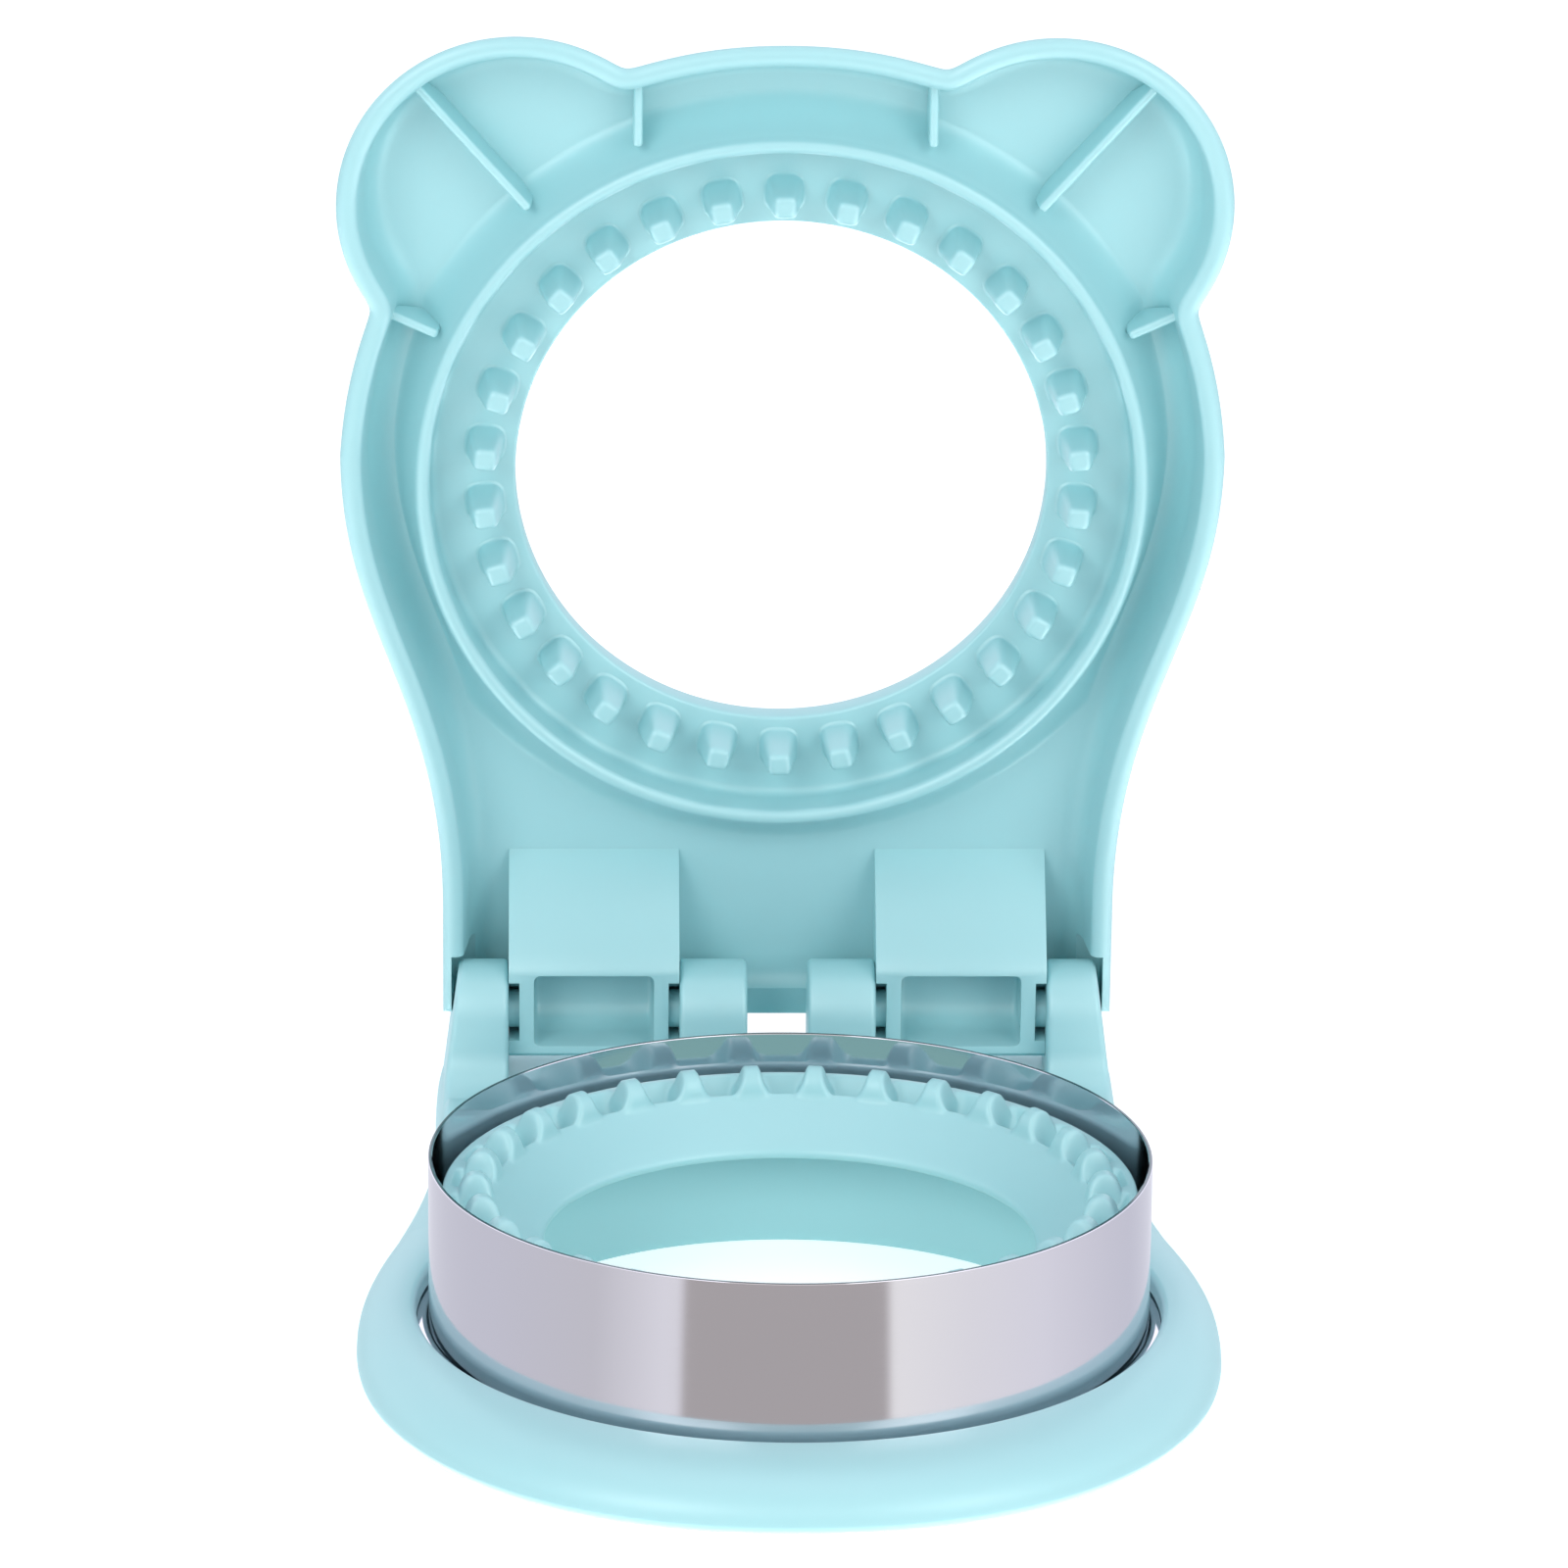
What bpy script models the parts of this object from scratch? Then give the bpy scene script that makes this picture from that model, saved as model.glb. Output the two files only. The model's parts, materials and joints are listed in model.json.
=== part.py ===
"""Hinged sandwich cutter and sealer: a base with a steel cutting ring, and a lid with two round ears.

X runs across, the hinge is at the back (+Y) and +Z is up. Both halves are drawn closed, round the
axis of the cutting ring and up from the table, and the lid is then swung open about its hinge.
"""
import math

import bmesh
import bpy
import numpy as np
from mathutils import Matrix, Vector

MM = 0.001

# Running gap between pieces that lie against each other, and the overrun of cuts and joins
SEAT_GAP = 0.3 * MM
OVERRUN = 1.0 * MM

# Steel cutting ring: a thin band with a foot turned outward
RING_RADIUS = 45.0 * MM
RING_WALL = 0.5 * MM
RING_TOP = 26.7 * MM
RING_EDGE_HEIGHT = 0.45 * MM
RING_FOOT_WIDTH = 2.1 * MM
RING_BEND = 0.8 * MM
RING_STEPS = 90

# Base: a low domed deck with a round opening for the ring, raised at the back to carry the hinge
BASE_SIDE_MARGIN = 9.0 * MM
BASE_FRONT_MARGIN = 14.5 * MM
BASE_BACK_OVERHANG = 9.0 * MM
BASE_CORNER = 3.0 * MM
BASE_POWER = 2.2
BASE_WALL = 2.0 * MM
BASE_STEPS = 22
DECK_HEIGHT = 7.2 * MM
DECK_WALL = 2.2 * MM
DECK_GAP = 1.55 * MM
DECK_EDGE_ROUND = 0.9 * MM
DECK_CROWN_WIDTH = 1.2 * MM
DOME_WIDTH = 10.0 * MM
DOME_BACK_WIDTH = 3.5 * MM
DOME_BLEND_LENGTH = 35.0 * MM
DOME_SHARES = (0.0, 0.06, 0.18, 0.4, 0.7)
RAISE_SHARES = (0.2, 0.38, 0.58, 0.8)
RAISED_DECK = 4.3 * MM
RAISE_MARGIN = 15.0 * MM
RAISE_LENGTH = 10.0 * MM
FOOT_HEIGHT = 1.3 * MM
FOOT_ROUND = 0.5 * MM
COLLAR_WALL = 1.4 * MM
COLLAR_DEPTH = 2.9 * MM

# Lower sealing ring: teeth and pockets round a cone, carried by a sleeve that is hollow underneath
TOOTH_COUNT = 30
RIM_GAP = 1.2 * MM
RIM_WIDTH = 0.5 * MM
RIM_DROP = 1.6 * MM
TOOTH_DROP = 3.6 * MM
TOOTH_SET_IN = 2.0 * MM
TOOTH_LENGTH = 3.1 * MM
TOOTH_FLANK = 1.0 * MM
TOOTH_ROUND = 0.6 * MM
POCKET_DEPTH = 3.1 * MM
POCKET_SCOOP = 0.4 * MM
CONE_START_DROP = 2.3 * MM
CONE_WIDTH = 6.6 * MM
CONE_FALL = 5.6 * MM
CONE_EDGE = 0.5 * MM
CONE_EDGE_WALL = 0.9 * MM
CONE_WALL = 1.7 * MM
SLEEVE_WALL = 2.5 * MM
SLEEVE_FOOT_WALL = 3.9 * MM
FLANGE_THICKNESS = 1.5 * MM
SPIGOT_MARGIN = 0.5 * MM
SPIGOT_WALL = 2.4 * MM
TOOTH_COLUMN_SHARES = (-0.37, -0.24, -0.13, 0.13, 0.24, 0.37)
TOOTH_RISE_SHARES = (0.0, 0.45, 1.0, 1.0, 0.45, 0.0)

# Hinge: arms and posts of the base carry stub pins that run in the lid's knuckles
HINGE_MARGIN = 27.7 * MM
HINGE_DROP = 6.5 * MM
ARM_RADIUS = 6.5 * MM
ARM_THICKNESS = 6.5 * MM
ARM_FLARE = 3.1 * MM
ARM_FOOT_MARGIN = 0.1 * MM
POST_INNER = 4.0 * MM
POST_THICKNESS = 8.85 * MM
ARM_ROOT = 2.6 * MM
PIN_RADIUS = 2.5 * MM
PIN_REACH = 3.3 * MM
PIN_CLEARANCE = 0.1 * MM
ARM_STEPS = 12
PIN_STEPS = 20

# Lid outline: a squared-off oval head, two round ears at the front and a straight neck at the hinge
HEAD_SIDE_MARGIN = 12.1 * MM
HEAD_FRONT_MARGIN = 16.0 * MM
HEAD_POWER = 2.1
EAR_RADIUS = 24.0 * MM
EAR_MARGIN = 5.7 * MM
EAR_ANGLE = math.radians(41.0)
EAR_BLEND = 1.3 * MM
NECK_START = 5.0 * MM
NECK_MARGIN = 2.6 * MM
NECK_STRAIGHT = 14.7 * MM
NECK_PULL_FRONT = 22.0 * MM
NECK_PULL_BACK = 30.0 * MM
CHIN_OVERHANG = 4.8 * MM
CHIN_CORNER = 3.6 * MM
HEAD_STEPS = 34
NECK_STEPS = 8
CORNER_STEPS = 3
SIDE_STEPS = 2
CHIN_STEPS = 5

# Lid section, measured with the lid closed
LID_RIM_DROP = 7.0 * MM
LID_RIM_ROUND = 0.5 * MM
LID_WALL = 2.75 * MM
LID_WALL_DRAFT = 0.55 * MM
LID_FILLET_WIDTH = 3.1 * MM
LID_FILLET_HEIGHT = 5.1 * MM
LID_FILLET_SHARES = (0.3, 0.55)
SEAL_FACE_GAP = 1.1 * MM
LID_CEILING_RISE = 1.3 * MM
LID_SKIN = 3.2 * MM
LID_DOME_WIDTH = 11.0 * MM
LID_DOME_POWER = 1.5
LID_DOME_SHARES = (0.2, 0.4, 0.6, 0.78, 0.91, 0.98, 1.0)
NECK_SHOULDER_WIDTH = 4.0 * MM
NECK_SHOULDER_SHARE = 0.45
NECK_BLEND_LENGTH = 45.0 * MM
LID_CROWN_WIDTH = 5.6 * MM
SEAL_FACE_WIDTH = 11.0 * MM
LID_HOLE_ROUND = 1.8 * MM
EDGE_STEPS = 24
WALL_CLEARANCE = 0.4 * MM
WALL_THICKNESS = 1.6 * MM
WALL_CREST_DROP = 4.7 * MM
WALL_CREST_ROUND = 0.3 * MM
FLANK_WIDTH = 4.6 * MM
FLANK_MARGIN = 0.8 * MM

# Lid teeth: tapered blocks that drop between the lower teeth
LID_TOOTH_SET_IN = 6.9 * MM
LID_TOOTH_TIP = 3.0 * MM
LID_TOOTH_WAIST = 3.5 * MM
LID_TOOTH_ROOT = 4.8 * MM
LID_TOOTH_FLARE = 1.6 * MM
LID_TOOTH_MESH = 1.7 * MM

# Lid ribs, between the raised wall and the outer wall
RIB_THICKNESS = 1.2 * MM
RIB_DROP = 3.4 * MM
RIB_SET_OUT = 0.8 * MM
RIB_END_SLANT = 0.7 * MM
RIB_TUCK = 1.9 * MM
TOP_RIB_SIDE = 18.8 * MM
SIDE_RIB_ANGLE = math.radians(66.5)

# Lid knuckles: hollow blocks, given from the hinge axis with the lid closed
KNUCKLE_LENGTH = 21.85 * MM
KNUCKLE_FACE = 3.6 * MM
KNUCKLE_FRONT = 7.3 * MM
KNUCKLE_RADIUS = 5.5 * MM
KNUCKLE_ROUND = 0.6 * MM
KNUCKLE_RAMP = 19.0 * MM
KNUCKLE_SIDE = 1.4 * MM
KNUCKLE_WALL = 1.9 * MM
CHANNEL_HALF = 3.15 * MM
POCKET_FRONT = 6.2 * MM
POCKET_BACK = 3.9 * MM
POCKET_FLOOR = 5.8 * MM
POCKET_RADIUS = 4.8 * MM
RELIEF_REACH = 7.6 * MM
RELIEF_CEILING = 7.5 * MM
ARM_SLOT_REACH = 15.0 * MM
ARM_SLOT_CLEARANCE = 0.7 * MM
WALL_END_REACH = 0.85 * MM
WALL_END_ROUND = 0.9 * MM
WALL_END_SLANT = 3.2 * MM

# The lid as shown leans this far past upright towards the ring
LID_LEAN = math.radians(5.0)

# Places that follow from the sizes above
HINGE_BACK = RING_RADIUS + HINGE_MARGIN
HINGE_HEIGHT = RING_TOP - HINGE_DROP
POST_OUTER = POST_INNER + POST_THICKNESS
KNUCKLE_INNER = POST_OUTER + SEAT_GAP
KNUCKLE_OUTER = KNUCKLE_INNER + KNUCKLE_LENGTH
ARM_INNER = KNUCKLE_OUTER + SEAT_GAP
ARM_TOP_OUTER = ARM_INNER + ARM_THICKNESS
ARM_FOOT_OUTER = ARM_TOP_OUTER + ARM_FLARE
BASE_NECK_HALF_WIDTH = ARM_FOOT_OUTER + ARM_FOOT_MARGIN
BASE_HALF_WIDTH = RING_RADIUS + BASE_SIDE_MARGIN
BASE_FRONT = RING_RADIUS + BASE_FRONT_MARGIN
DECK_UNDER = DECK_HEIGHT - DECK_WALL
DECK_HOLE = RING_RADIUS + DECK_GAP
CROWN_RADIUS = DECK_HOLE + DECK_EDGE_ROUND + DECK_CROWN_WIDTH
RAISE_END = RING_RADIUS + RAISE_MARGIN
RING_FOOT_TOP = DECK_UNDER - SEAT_GAP
RING_FOOT_RADIUS = RING_RADIUS + RING_FOOT_WIDTH
SPIGOT_RADIUS = RING_FOOT_RADIUS + SPIGOT_MARGIN
COLLAR_RADIUS = SPIGOT_RADIUS + SEAT_GAP
RIM_RADIUS = RING_RADIUS - RING_WALL - RIM_GAP
TOOTH_TOP = RING_TOP - TOOTH_DROP
TOOTH_OUTER = RIM_RADIUS - TOOTH_SET_IN
TOOTH_INNER = TOOTH_OUTER - TOOTH_LENGTH
CONE_TOP_RADIUS = TOOTH_INNER - TOOTH_FLANK
CONE_TOP_HEIGHT = TOOTH_TOP - CONE_START_DROP
HEAD_HALF_WIDTH = RING_RADIUS + HEAD_SIDE_MARGIN
HEAD_FRONT = RING_RADIUS + HEAD_FRONT_MARGIN
EAR_DISTANCE = RING_RADIUS + EAR_MARGIN
NECK_HALF_WIDTH = ARM_TOP_OUTER + NECK_MARGIN
NECK_END = HINGE_BACK - NECK_STRAIGHT
CHIN_BACK = HINGE_BACK + CHIN_OVERHANG
LID_RIM = RING_TOP - LID_RIM_DROP
SEAL_FACE = RING_TOP + SEAL_FACE_GAP
LID_CEILING = SEAL_FACE + LID_CEILING_RISE
LID_TOP = LID_CEILING + LID_SKIN
WALL_INNER = RING_RADIUS + WALL_CLEARANCE
WALL_OUTER = WALL_INNER + WALL_THICKNESS
WALL_CREST = RING_TOP - WALL_CREST_DROP
LID_HOLE = WALL_INNER - SEAL_FACE_WIDTH
LID_TOOTH_RADIUS = WALL_INNER - LID_TOOTH_SET_IN


def srgb(text):
    """Linear colour of a six-digit sRGB hex text."""
    values = [int(text[i:i + 2], 16) / 255 for i in (0, 2, 4)]
    return [v / 12.92 if v <= 0.04045 else ((v + 0.055) / 1.055) ** 2.4 for v in values] + [1.0]


def material(name, colour, roughness, metallic):
    """A plain finish for one piece."""
    made = bpy.data.materials.new(name)
    made.use_nodes = True
    shader = made.node_tree.nodes["Principled BSDF"]
    shader.inputs["Base Color"].default_value = srgb(colour)
    shader.inputs["Roughness"].default_value = roughness
    shader.inputs["Metallic"].default_value = metallic
    return made


def clear_scene():
    """Start from an empty scene."""
    for thing in list(bpy.data.objects):
        bpy.data.objects.remove(thing, do_unlink=True)


def new_object(name, bm):
    """Turn a closed bmesh into a named object with its faces outward."""
    bmesh.ops.recalc_face_normals(bm, faces=bm.faces)
    mesh = bpy.data.meshes.new(name)
    bm.to_mesh(mesh)
    bm.free()
    made = bpy.data.objects.new(name, mesh)
    bpy.context.collection.objects.link(made)
    return made


def loft(name, loops):
    """Close a chain of equal loops into one body; the last loop joins the first."""
    bm = bmesh.new()
    rows = [[bm.verts.new(point) for point in loop] for loop in loops]
    for row, following in zip(rows, rows[1:] + rows[:1]):
        count = len(row)
        for i in range(count):
            j = (i + 1) % count
            bm.faces.new((row[i], row[j], following[j], following[i]))
    bmesh.ops.triangulate(bm, faces=bm.faces)
    return new_object(name, bm)


def prism(name, profile, low, high):
    """Extrude a (y, z) profile across X; each end may be a place or a function of height."""
    def across(end, z):
        return end(z) if callable(end) else end
    bm = bmesh.new()
    near = [bm.verts.new((across(low, z), y, z)) for y, z in profile]
    far = [bm.verts.new((across(high, z), y, z)) for y, z in profile]
    bm.faces.new(near)
    bm.faces.new(far)
    for i in range(len(profile)):
        j = (i + 1) % len(profile)
        bm.faces.new((near[i], near[j], far[j], far[i]))
    return new_object(name, bm)


def mirrored(tool):
    """A copy of a body on the other side of the middle plane."""
    bm = bmesh.new()
    bm.from_mesh(tool.data)
    bmesh.ops.scale(bm, vec=(-1.0, 1.0, 1.0), verts=bm.verts)
    return new_object(tool.name + "_mirrored", bm)


def combine(target, tools, operation):
    """Join tools to a body, or cut them out of it, and remove the tools."""
    for tool in tools:
        step = target.modifiers.new(operation.lower(), "BOOLEAN")
        step.operation = operation
        step.solver = "EXACT"
        step.object = tool
        shaped = target.evaluated_get(bpy.context.evaluated_depsgraph_get())
        result = bpy.data.meshes.new_from_object(shaped)
        target.modifiers.clear()
        target.data = result
        bpy.data.objects.remove(tool, do_unlink=True)


def finish(piece, look):
    """Give a piece its finish and smooth its rounded faces."""
    piece.data.materials.clear()
    piece.data.materials.append(look)
    piece.data.shade_smooth()
    piece.data.set_sharp_from_angle(angle=math.radians(32.0))
    return piece


def superellipse_radius(angle, across, along, power):
    """Distance from the centre to a squared-off oval; angle 0 faces the front."""
    side = (abs(math.sin(angle)) / across) ** power
    front = (abs(math.cos(angle)) / along) ** power
    return (side + front) ** (-1.0 / power)


def polar(radius, angle):
    """Place at an angle from the front, towards +X."""
    return (radius * math.sin(angle), -radius * math.cos(angle))


def whole(half):
    """Mirror the +X half of an outline, front to back, into a closed one."""
    return half + [(-x, y) for x, y in reversed(half[1:-1])]


def back_corner(half_width, back, corner):
    """Round the back corner, then run along the back edge to the middle."""
    edge = half_width - corner
    points = []
    for i in range(CORNER_STEPS + 1):
        turn = 0.5 * math.pi * i / CORNER_STEPS
        points.append((edge + corner * math.cos(turn), back - corner + corner * math.sin(turn)))
    for i in range(1, CHIN_STEPS + 1):
        points.append((edge * (1.0 - i / CHIN_STEPS), back))
    return points


def head_radius(angle):
    """Head and ear together, with a soft notch where they meet."""
    head = superellipse_radius(angle, HEAD_HALF_WIDTH, HEAD_FRONT, HEAD_POWER)
    off = angle - EAR_ANGLE
    reach = EAR_RADIUS ** 2 - (EAR_DISTANCE * math.sin(off)) ** 2
    ear = EAR_DISTANCE * math.cos(off) + math.sqrt(max(reach, 0.0))
    return 0.5 * (head + ear + math.hypot(head - ear, EAR_BLEND))


def lid_outline():
    """Head with ears, a drawn-in neck and a square back edge."""
    sweep = math.atan2(HEAD_HALF_WIDTH, NECK_START)
    half = []
    for i in range(HEAD_STEPS + 1):
        angle = sweep * i / HEAD_STEPS
        half.append(polar(head_radius(angle), angle))
    start = Vector(half[-1])
    end = Vector((NECK_HALF_WIDTH, NECK_END))
    pull_front = start + Vector((0.0, NECK_PULL_FRONT))
    pull_back = end - Vector((0.0, NECK_PULL_BACK))
    for i in range(1, NECK_STEPS + 1):
        t = i / NECK_STEPS
        s = 1.0 - t
        point = start * s ** 3 + pull_front * 3 * s * s * t + pull_back * 3 * s * t * t + end * t ** 3
        half.append(tuple(point))
    corner_start = CHIN_BACK - CHIN_CORNER
    for i in range(1, SIDE_STEPS):
        half.append((NECK_HALF_WIDTH, NECK_END + (corner_start - NECK_END) * i / SIDE_STEPS))
    return whole(half + back_corner(NECK_HALF_WIDTH, CHIN_BACK, CHIN_CORNER))


def base_outline():
    """Squared-off oval front, sides that draw in gently to the hinge."""
    half = []
    for i in range(BASE_STEPS + 1):
        angle = 0.5 * math.pi * i / BASE_STEPS
        half.append(polar(superellipse_radius(angle, BASE_HALF_WIDTH, BASE_FRONT, BASE_POWER), angle))
    back = HINGE_BACK + BASE_BACK_OVERHANG
    corner_start = back - BASE_CORNER
    steps = NECK_STEPS + SIDE_STEPS
    for i in range(1, steps):
        t = i / steps
        spread = 0.5 * (1.0 + math.cos(math.pi * t))
        half_width = BASE_NECK_HALF_WIDTH + (BASE_HALF_WIDTH - BASE_NECK_HALF_WIDTH) * spread
        half.append((half_width, corner_start * t))
    return whole(half + back_corner(BASE_NECK_HALF_WIDTH, back, BASE_CORNER))


def rays(outline):
    """Unit directions from the ring's axis to each point of an outline."""
    return [Vector(point).normalized() for point in outline]


def inset(outline, depth):
    """Loop on the outline's rays that keeps the given distance from every part of its edge."""
    corners = np.array(outline)
    steps = np.roll(corners, -1, axis=0) - corners
    shares = np.arange(EDGE_STEPS) / EDGE_STEPS
    edge = (corners[:, None] + steps[:, None] * shares[:, None]).reshape(-1, 2)
    moved = []
    for ray in rays(outline):
        along = edge @ np.array(ray)
        aside = edge @ np.array((-ray.y, ray.x))
        near = (np.abs(aside) < depth) & (along > 0.0)
        moved.append(ray * float(np.min(along[near] - np.sqrt(depth ** 2 - aside[near] ** 2))))
    return moved


def circle(outline, radius):
    """A circle with one point on each of the outline's rays."""
    return [ray * radius for ray in rays(outline)]


def no_further(points, outline, limit_points, margin):
    """Pull points in where they would come closer to another loop than a margin."""
    kept = []
    for point, ray, limit in zip(points, rays(outline), limit_points):
        kept.append(ray * min(point.length, limit.length - margin))
    return kept


def at(points, height):
    """Lift a flat loop to a height."""
    return [(p[0], p[1], height) for p in points]


def turned(name, profile, steps):
    """Turn a closed (radius, height) profile round the ring's axis."""
    loops = []
    for radius, height in profile:
        loops.append(at([polar(radius, 2.0 * math.pi * i / steps) for i in range(steps)], height))
    return loft(name, loops)


def cutter_ring():
    """Steel band, ground to an edge at the top, with a foot turned outward."""
    inner = RING_RADIUS - RING_WALL
    foot_bottom = RING_FOOT_TOP - RING_WALL
    profile = (
        (inner, RING_TOP - RING_EDGE_HEIGHT),
        (RING_RADIUS - 0.3 * RING_WALL, RING_TOP),
        (RING_RADIUS, RING_TOP - RING_EDGE_HEIGHT),
        (RING_RADIUS, RING_FOOT_TOP + RING_BEND),
        (RING_RADIUS + RING_BEND, RING_FOOT_TOP),
        (RING_FOOT_RADIUS, RING_FOOT_TOP),
        (RING_FOOT_RADIUS, foot_bottom),
        (RING_RADIUS + RING_BEND, foot_bottom),
        (inner, foot_bottom + RING_BEND),
    )
    return turned("cutter_ring", profile, RING_STEPS)


def sealing_profile():
    """Stations of the lower sealing ring: radius, height in a pocket, height on a tooth."""
    rim = TOOTH_TOP - RIM_DROP
    pocket = TOOTH_TOP - POCKET_DEPTH
    flange_top = SEAT_GAP + FLANGE_THICKNESS
    spigot_top = RING_FOOT_TOP - RING_WALL - SEAT_GAP
    flange_edge = COLLAR_RADIUS + COLLAR_WALL
    cone_inner = CONE_TOP_RADIUS - CONE_WIDTH
    cone_low = CONE_TOP_HEIGHT - CONE_FALL
    slope = CONE_FALL / CONE_WIDTH
    level = (
        (RIM_RADIUS - SLEEVE_FOOT_WALL, SEAT_GAP),
        (flange_edge, SEAT_GAP),
        (flange_edge, flange_top),
        (SPIGOT_RADIUS, flange_top),
        (SPIGOT_RADIUS, spigot_top),
        (SPIGOT_RADIUS - SPIGOT_WALL, spigot_top),
        (SPIGOT_RADIUS - SPIGOT_WALL, flange_top),
        (RIM_RADIUS, flange_top),
        (RIM_RADIUS, rim),
        (RIM_RADIUS - RIM_WIDTH, rim),
    )
    edge = (
        (CONE_TOP_RADIUS - 2.0 * TOOTH_FLANK, CONE_TOP_HEIGHT - 2.0 * slope * TOOTH_FLANK),
        (cone_inner + CONE_EDGE, cone_low + slope * CONE_EDGE),
        (cone_inner, cone_low - 0.3 * CONE_EDGE),
        (cone_inner, cone_low - CONE_EDGE),
        (cone_inner + 2.0 * CONE_EDGE, cone_low - CONE_EDGE_WALL),
        (CONE_TOP_RADIUS, pocket - CONE_WALL),
        (RIM_RADIUS - SLEEVE_WALL, pocket - CONE_WALL),
    )
    stations = [(radius, height, height) for radius, height in level]
    stations.append((TOOTH_OUTER, pocket, TOOTH_TOP - 0.5 * TOOTH_ROUND))
    stations.append((TOOTH_OUTER - TOOTH_FLANK, pocket - POCKET_SCOOP, TOOTH_TOP))
    stations.append((TOOTH_INNER, pocket, TOOTH_TOP))
    stations.append((CONE_TOP_RADIUS, CONE_TOP_HEIGHT, TOOTH_TOP - TOOTH_ROUND))
    stations.append((CONE_TOP_RADIUS - TOOTH_FLANK, CONE_TOP_HEIGHT - slope * TOOTH_FLANK, CONE_TOP_HEIGHT))
    return stations + [(radius, height, height) for radius, height in edge]


def lower_crimp_ring():
    """Toothed ring inside the cutter: every tooth is a rise in an otherwise turned profile."""
    pitch = 2.0 * math.pi / TOOTH_COUNT
    columns = []
    for tooth in range(TOOTH_COUNT):
        for place, rise in zip(TOOTH_COLUMN_SHARES, TOOTH_RISE_SHARES):
            columns.append(((tooth + 0.5 + place) * pitch, rise))
    loops = []
    for radius, low, high in sealing_profile():
        loops.append([(*polar(radius, angle), low + (high - low) * rise) for angle, rise in columns])
    return loft("lower_crimp_ring", loops)


def eased(y, length, end):
    """0 before a stretch that ends at a place, 1 behind it, with soft ends."""
    share = min(max((y - end + length) / length, 0.0), 1.0)
    return share * share * (3.0 - 2.0 * share)


def dome_width(edge):
    """Width of the dome along the ray to an edge point: slimmer towards the hinge."""
    width = DOME_WIDTH + (DOME_BACK_WIDTH - DOME_WIDTH) * eased(edge[1], DOME_BLEND_LENGTH, RAISE_END)
    return min(Vector(edge).length - CROWN_RADIUS, width)


def on_dome(points, outline, depth):
    """Lift a flat loop to the deck's domed surface, or to a depth below it."""
    loop = []
    for point, edge in zip(points, outline):
        reach = Vector(edge).length
        left = min(max(1.0 - (reach - point.length) / dome_width(edge), 0.0), 1.0)
        top = DECK_HEIGHT + RAISED_DECK * eased(point.y, RAISE_LENGTH, RAISE_END)
        height = FOOT_HEIGHT + (top - FOOT_HEIGHT) * math.sqrt(1.0 - left ** 2)
        loop.append((point.x, point.y, height - depth))
    return loop


def between(points, others, share):
    """A loop part of the way from one loop to another."""
    return [p.lerp(q, share) for p, q in zip(points, others)]


def deck_loops(outline):
    """Section of the base: the opening, the crown, the dome, the foot and the hollow underneath."""
    hole = circle(outline, DECK_HOLE)
    crown = circle(outline, CROWN_RADIUS)
    dome = []
    for share in reversed(DOME_SHARES):
        loop = []
        for point, ray in zip(outline, rays(outline)):
            loop.append(Vector(point) - ray * (dome_width(point) * share))
        dome.append(loop)
    loops = [
        at(hole, DECK_UNDER),
        at(hole, DECK_HEIGHT - DECK_EDGE_ROUND),
        at(circle(outline, DECK_HOLE + 0.35 * DECK_EDGE_ROUND), DECK_HEIGHT - 0.3 * DECK_EDGE_ROUND),
        at(crown, DECK_HEIGHT),
    ]
    for share in RAISE_SHARES:
        loops.append(on_dome(between(crown, dome[0], share), outline, 0.0))
    for loop in dome:
        loops.append(on_dome(loop, outline, 0.0))
    inner = inset(outline, BASE_WALL)
    ceiling = inset(outline, BASE_WALL + 0.5 * DECK_WALL)
    collar = circle(outline, COLLAR_RADIUS + COLLAR_WALL)
    loops.append(at(inset(outline, FOOT_ROUND), 0.0))
    loops.append(at(inner, 0.0))
    loops.append(on_dome(inner, outline, DECK_WALL))
    loops.append(on_dome(ceiling, outline, DECK_WALL))
    for share in reversed(RAISE_SHARES):
        loops.append(on_dome(between(collar, ceiling, share), outline, DECK_WALL))
    loops.append(at(collar, DECK_UNDER))
    loops.append(at(collar, DECK_UNDER - COLLAR_DEPTH))
    loops.append(at(circle(outline, COLLAR_RADIUS), DECK_UNDER - COLLAR_DEPTH))
    loops.append(at(circle(outline, COLLAR_RADIUS), DECK_UNDER))
    return loops


def arm_profile():
    """Side view of an arm or post: a stem with a round head on the hinge axis."""
    points = [(HINGE_BACK + ARM_RADIUS, ARM_ROOT)]
    for i in range(ARM_STEPS + 1):
        turn = math.pi * i / ARM_STEPS
        y = HINGE_BACK + ARM_RADIUS * math.cos(turn)
        points.append((y, HINGE_HEIGHT + ARM_RADIUS * math.sin(turn)))
    points.append((HINGE_BACK - ARM_RADIUS, ARM_ROOT))
    return points


def arm_outer_face(height):
    """Outer face of an arm, which leans in as it rises."""
    top = HINGE_HEIGHT + ARM_RADIUS
    share = (height - ARM_ROOT) / (top - ARM_ROOT)
    return ARM_FOOT_OUTER + (ARM_TOP_OUTER - ARM_FOOT_OUTER) * share


def round_profile(radius):
    """A circle on the hinge axis, seen from the side."""
    points = []
    for i in range(PIN_STEPS):
        turn = 2.0 * math.pi * i / PIN_STEPS
        points.append((HINGE_BACK + radius * math.cos(turn), HINGE_HEIGHT + radius * math.sin(turn)))
    return points


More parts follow.
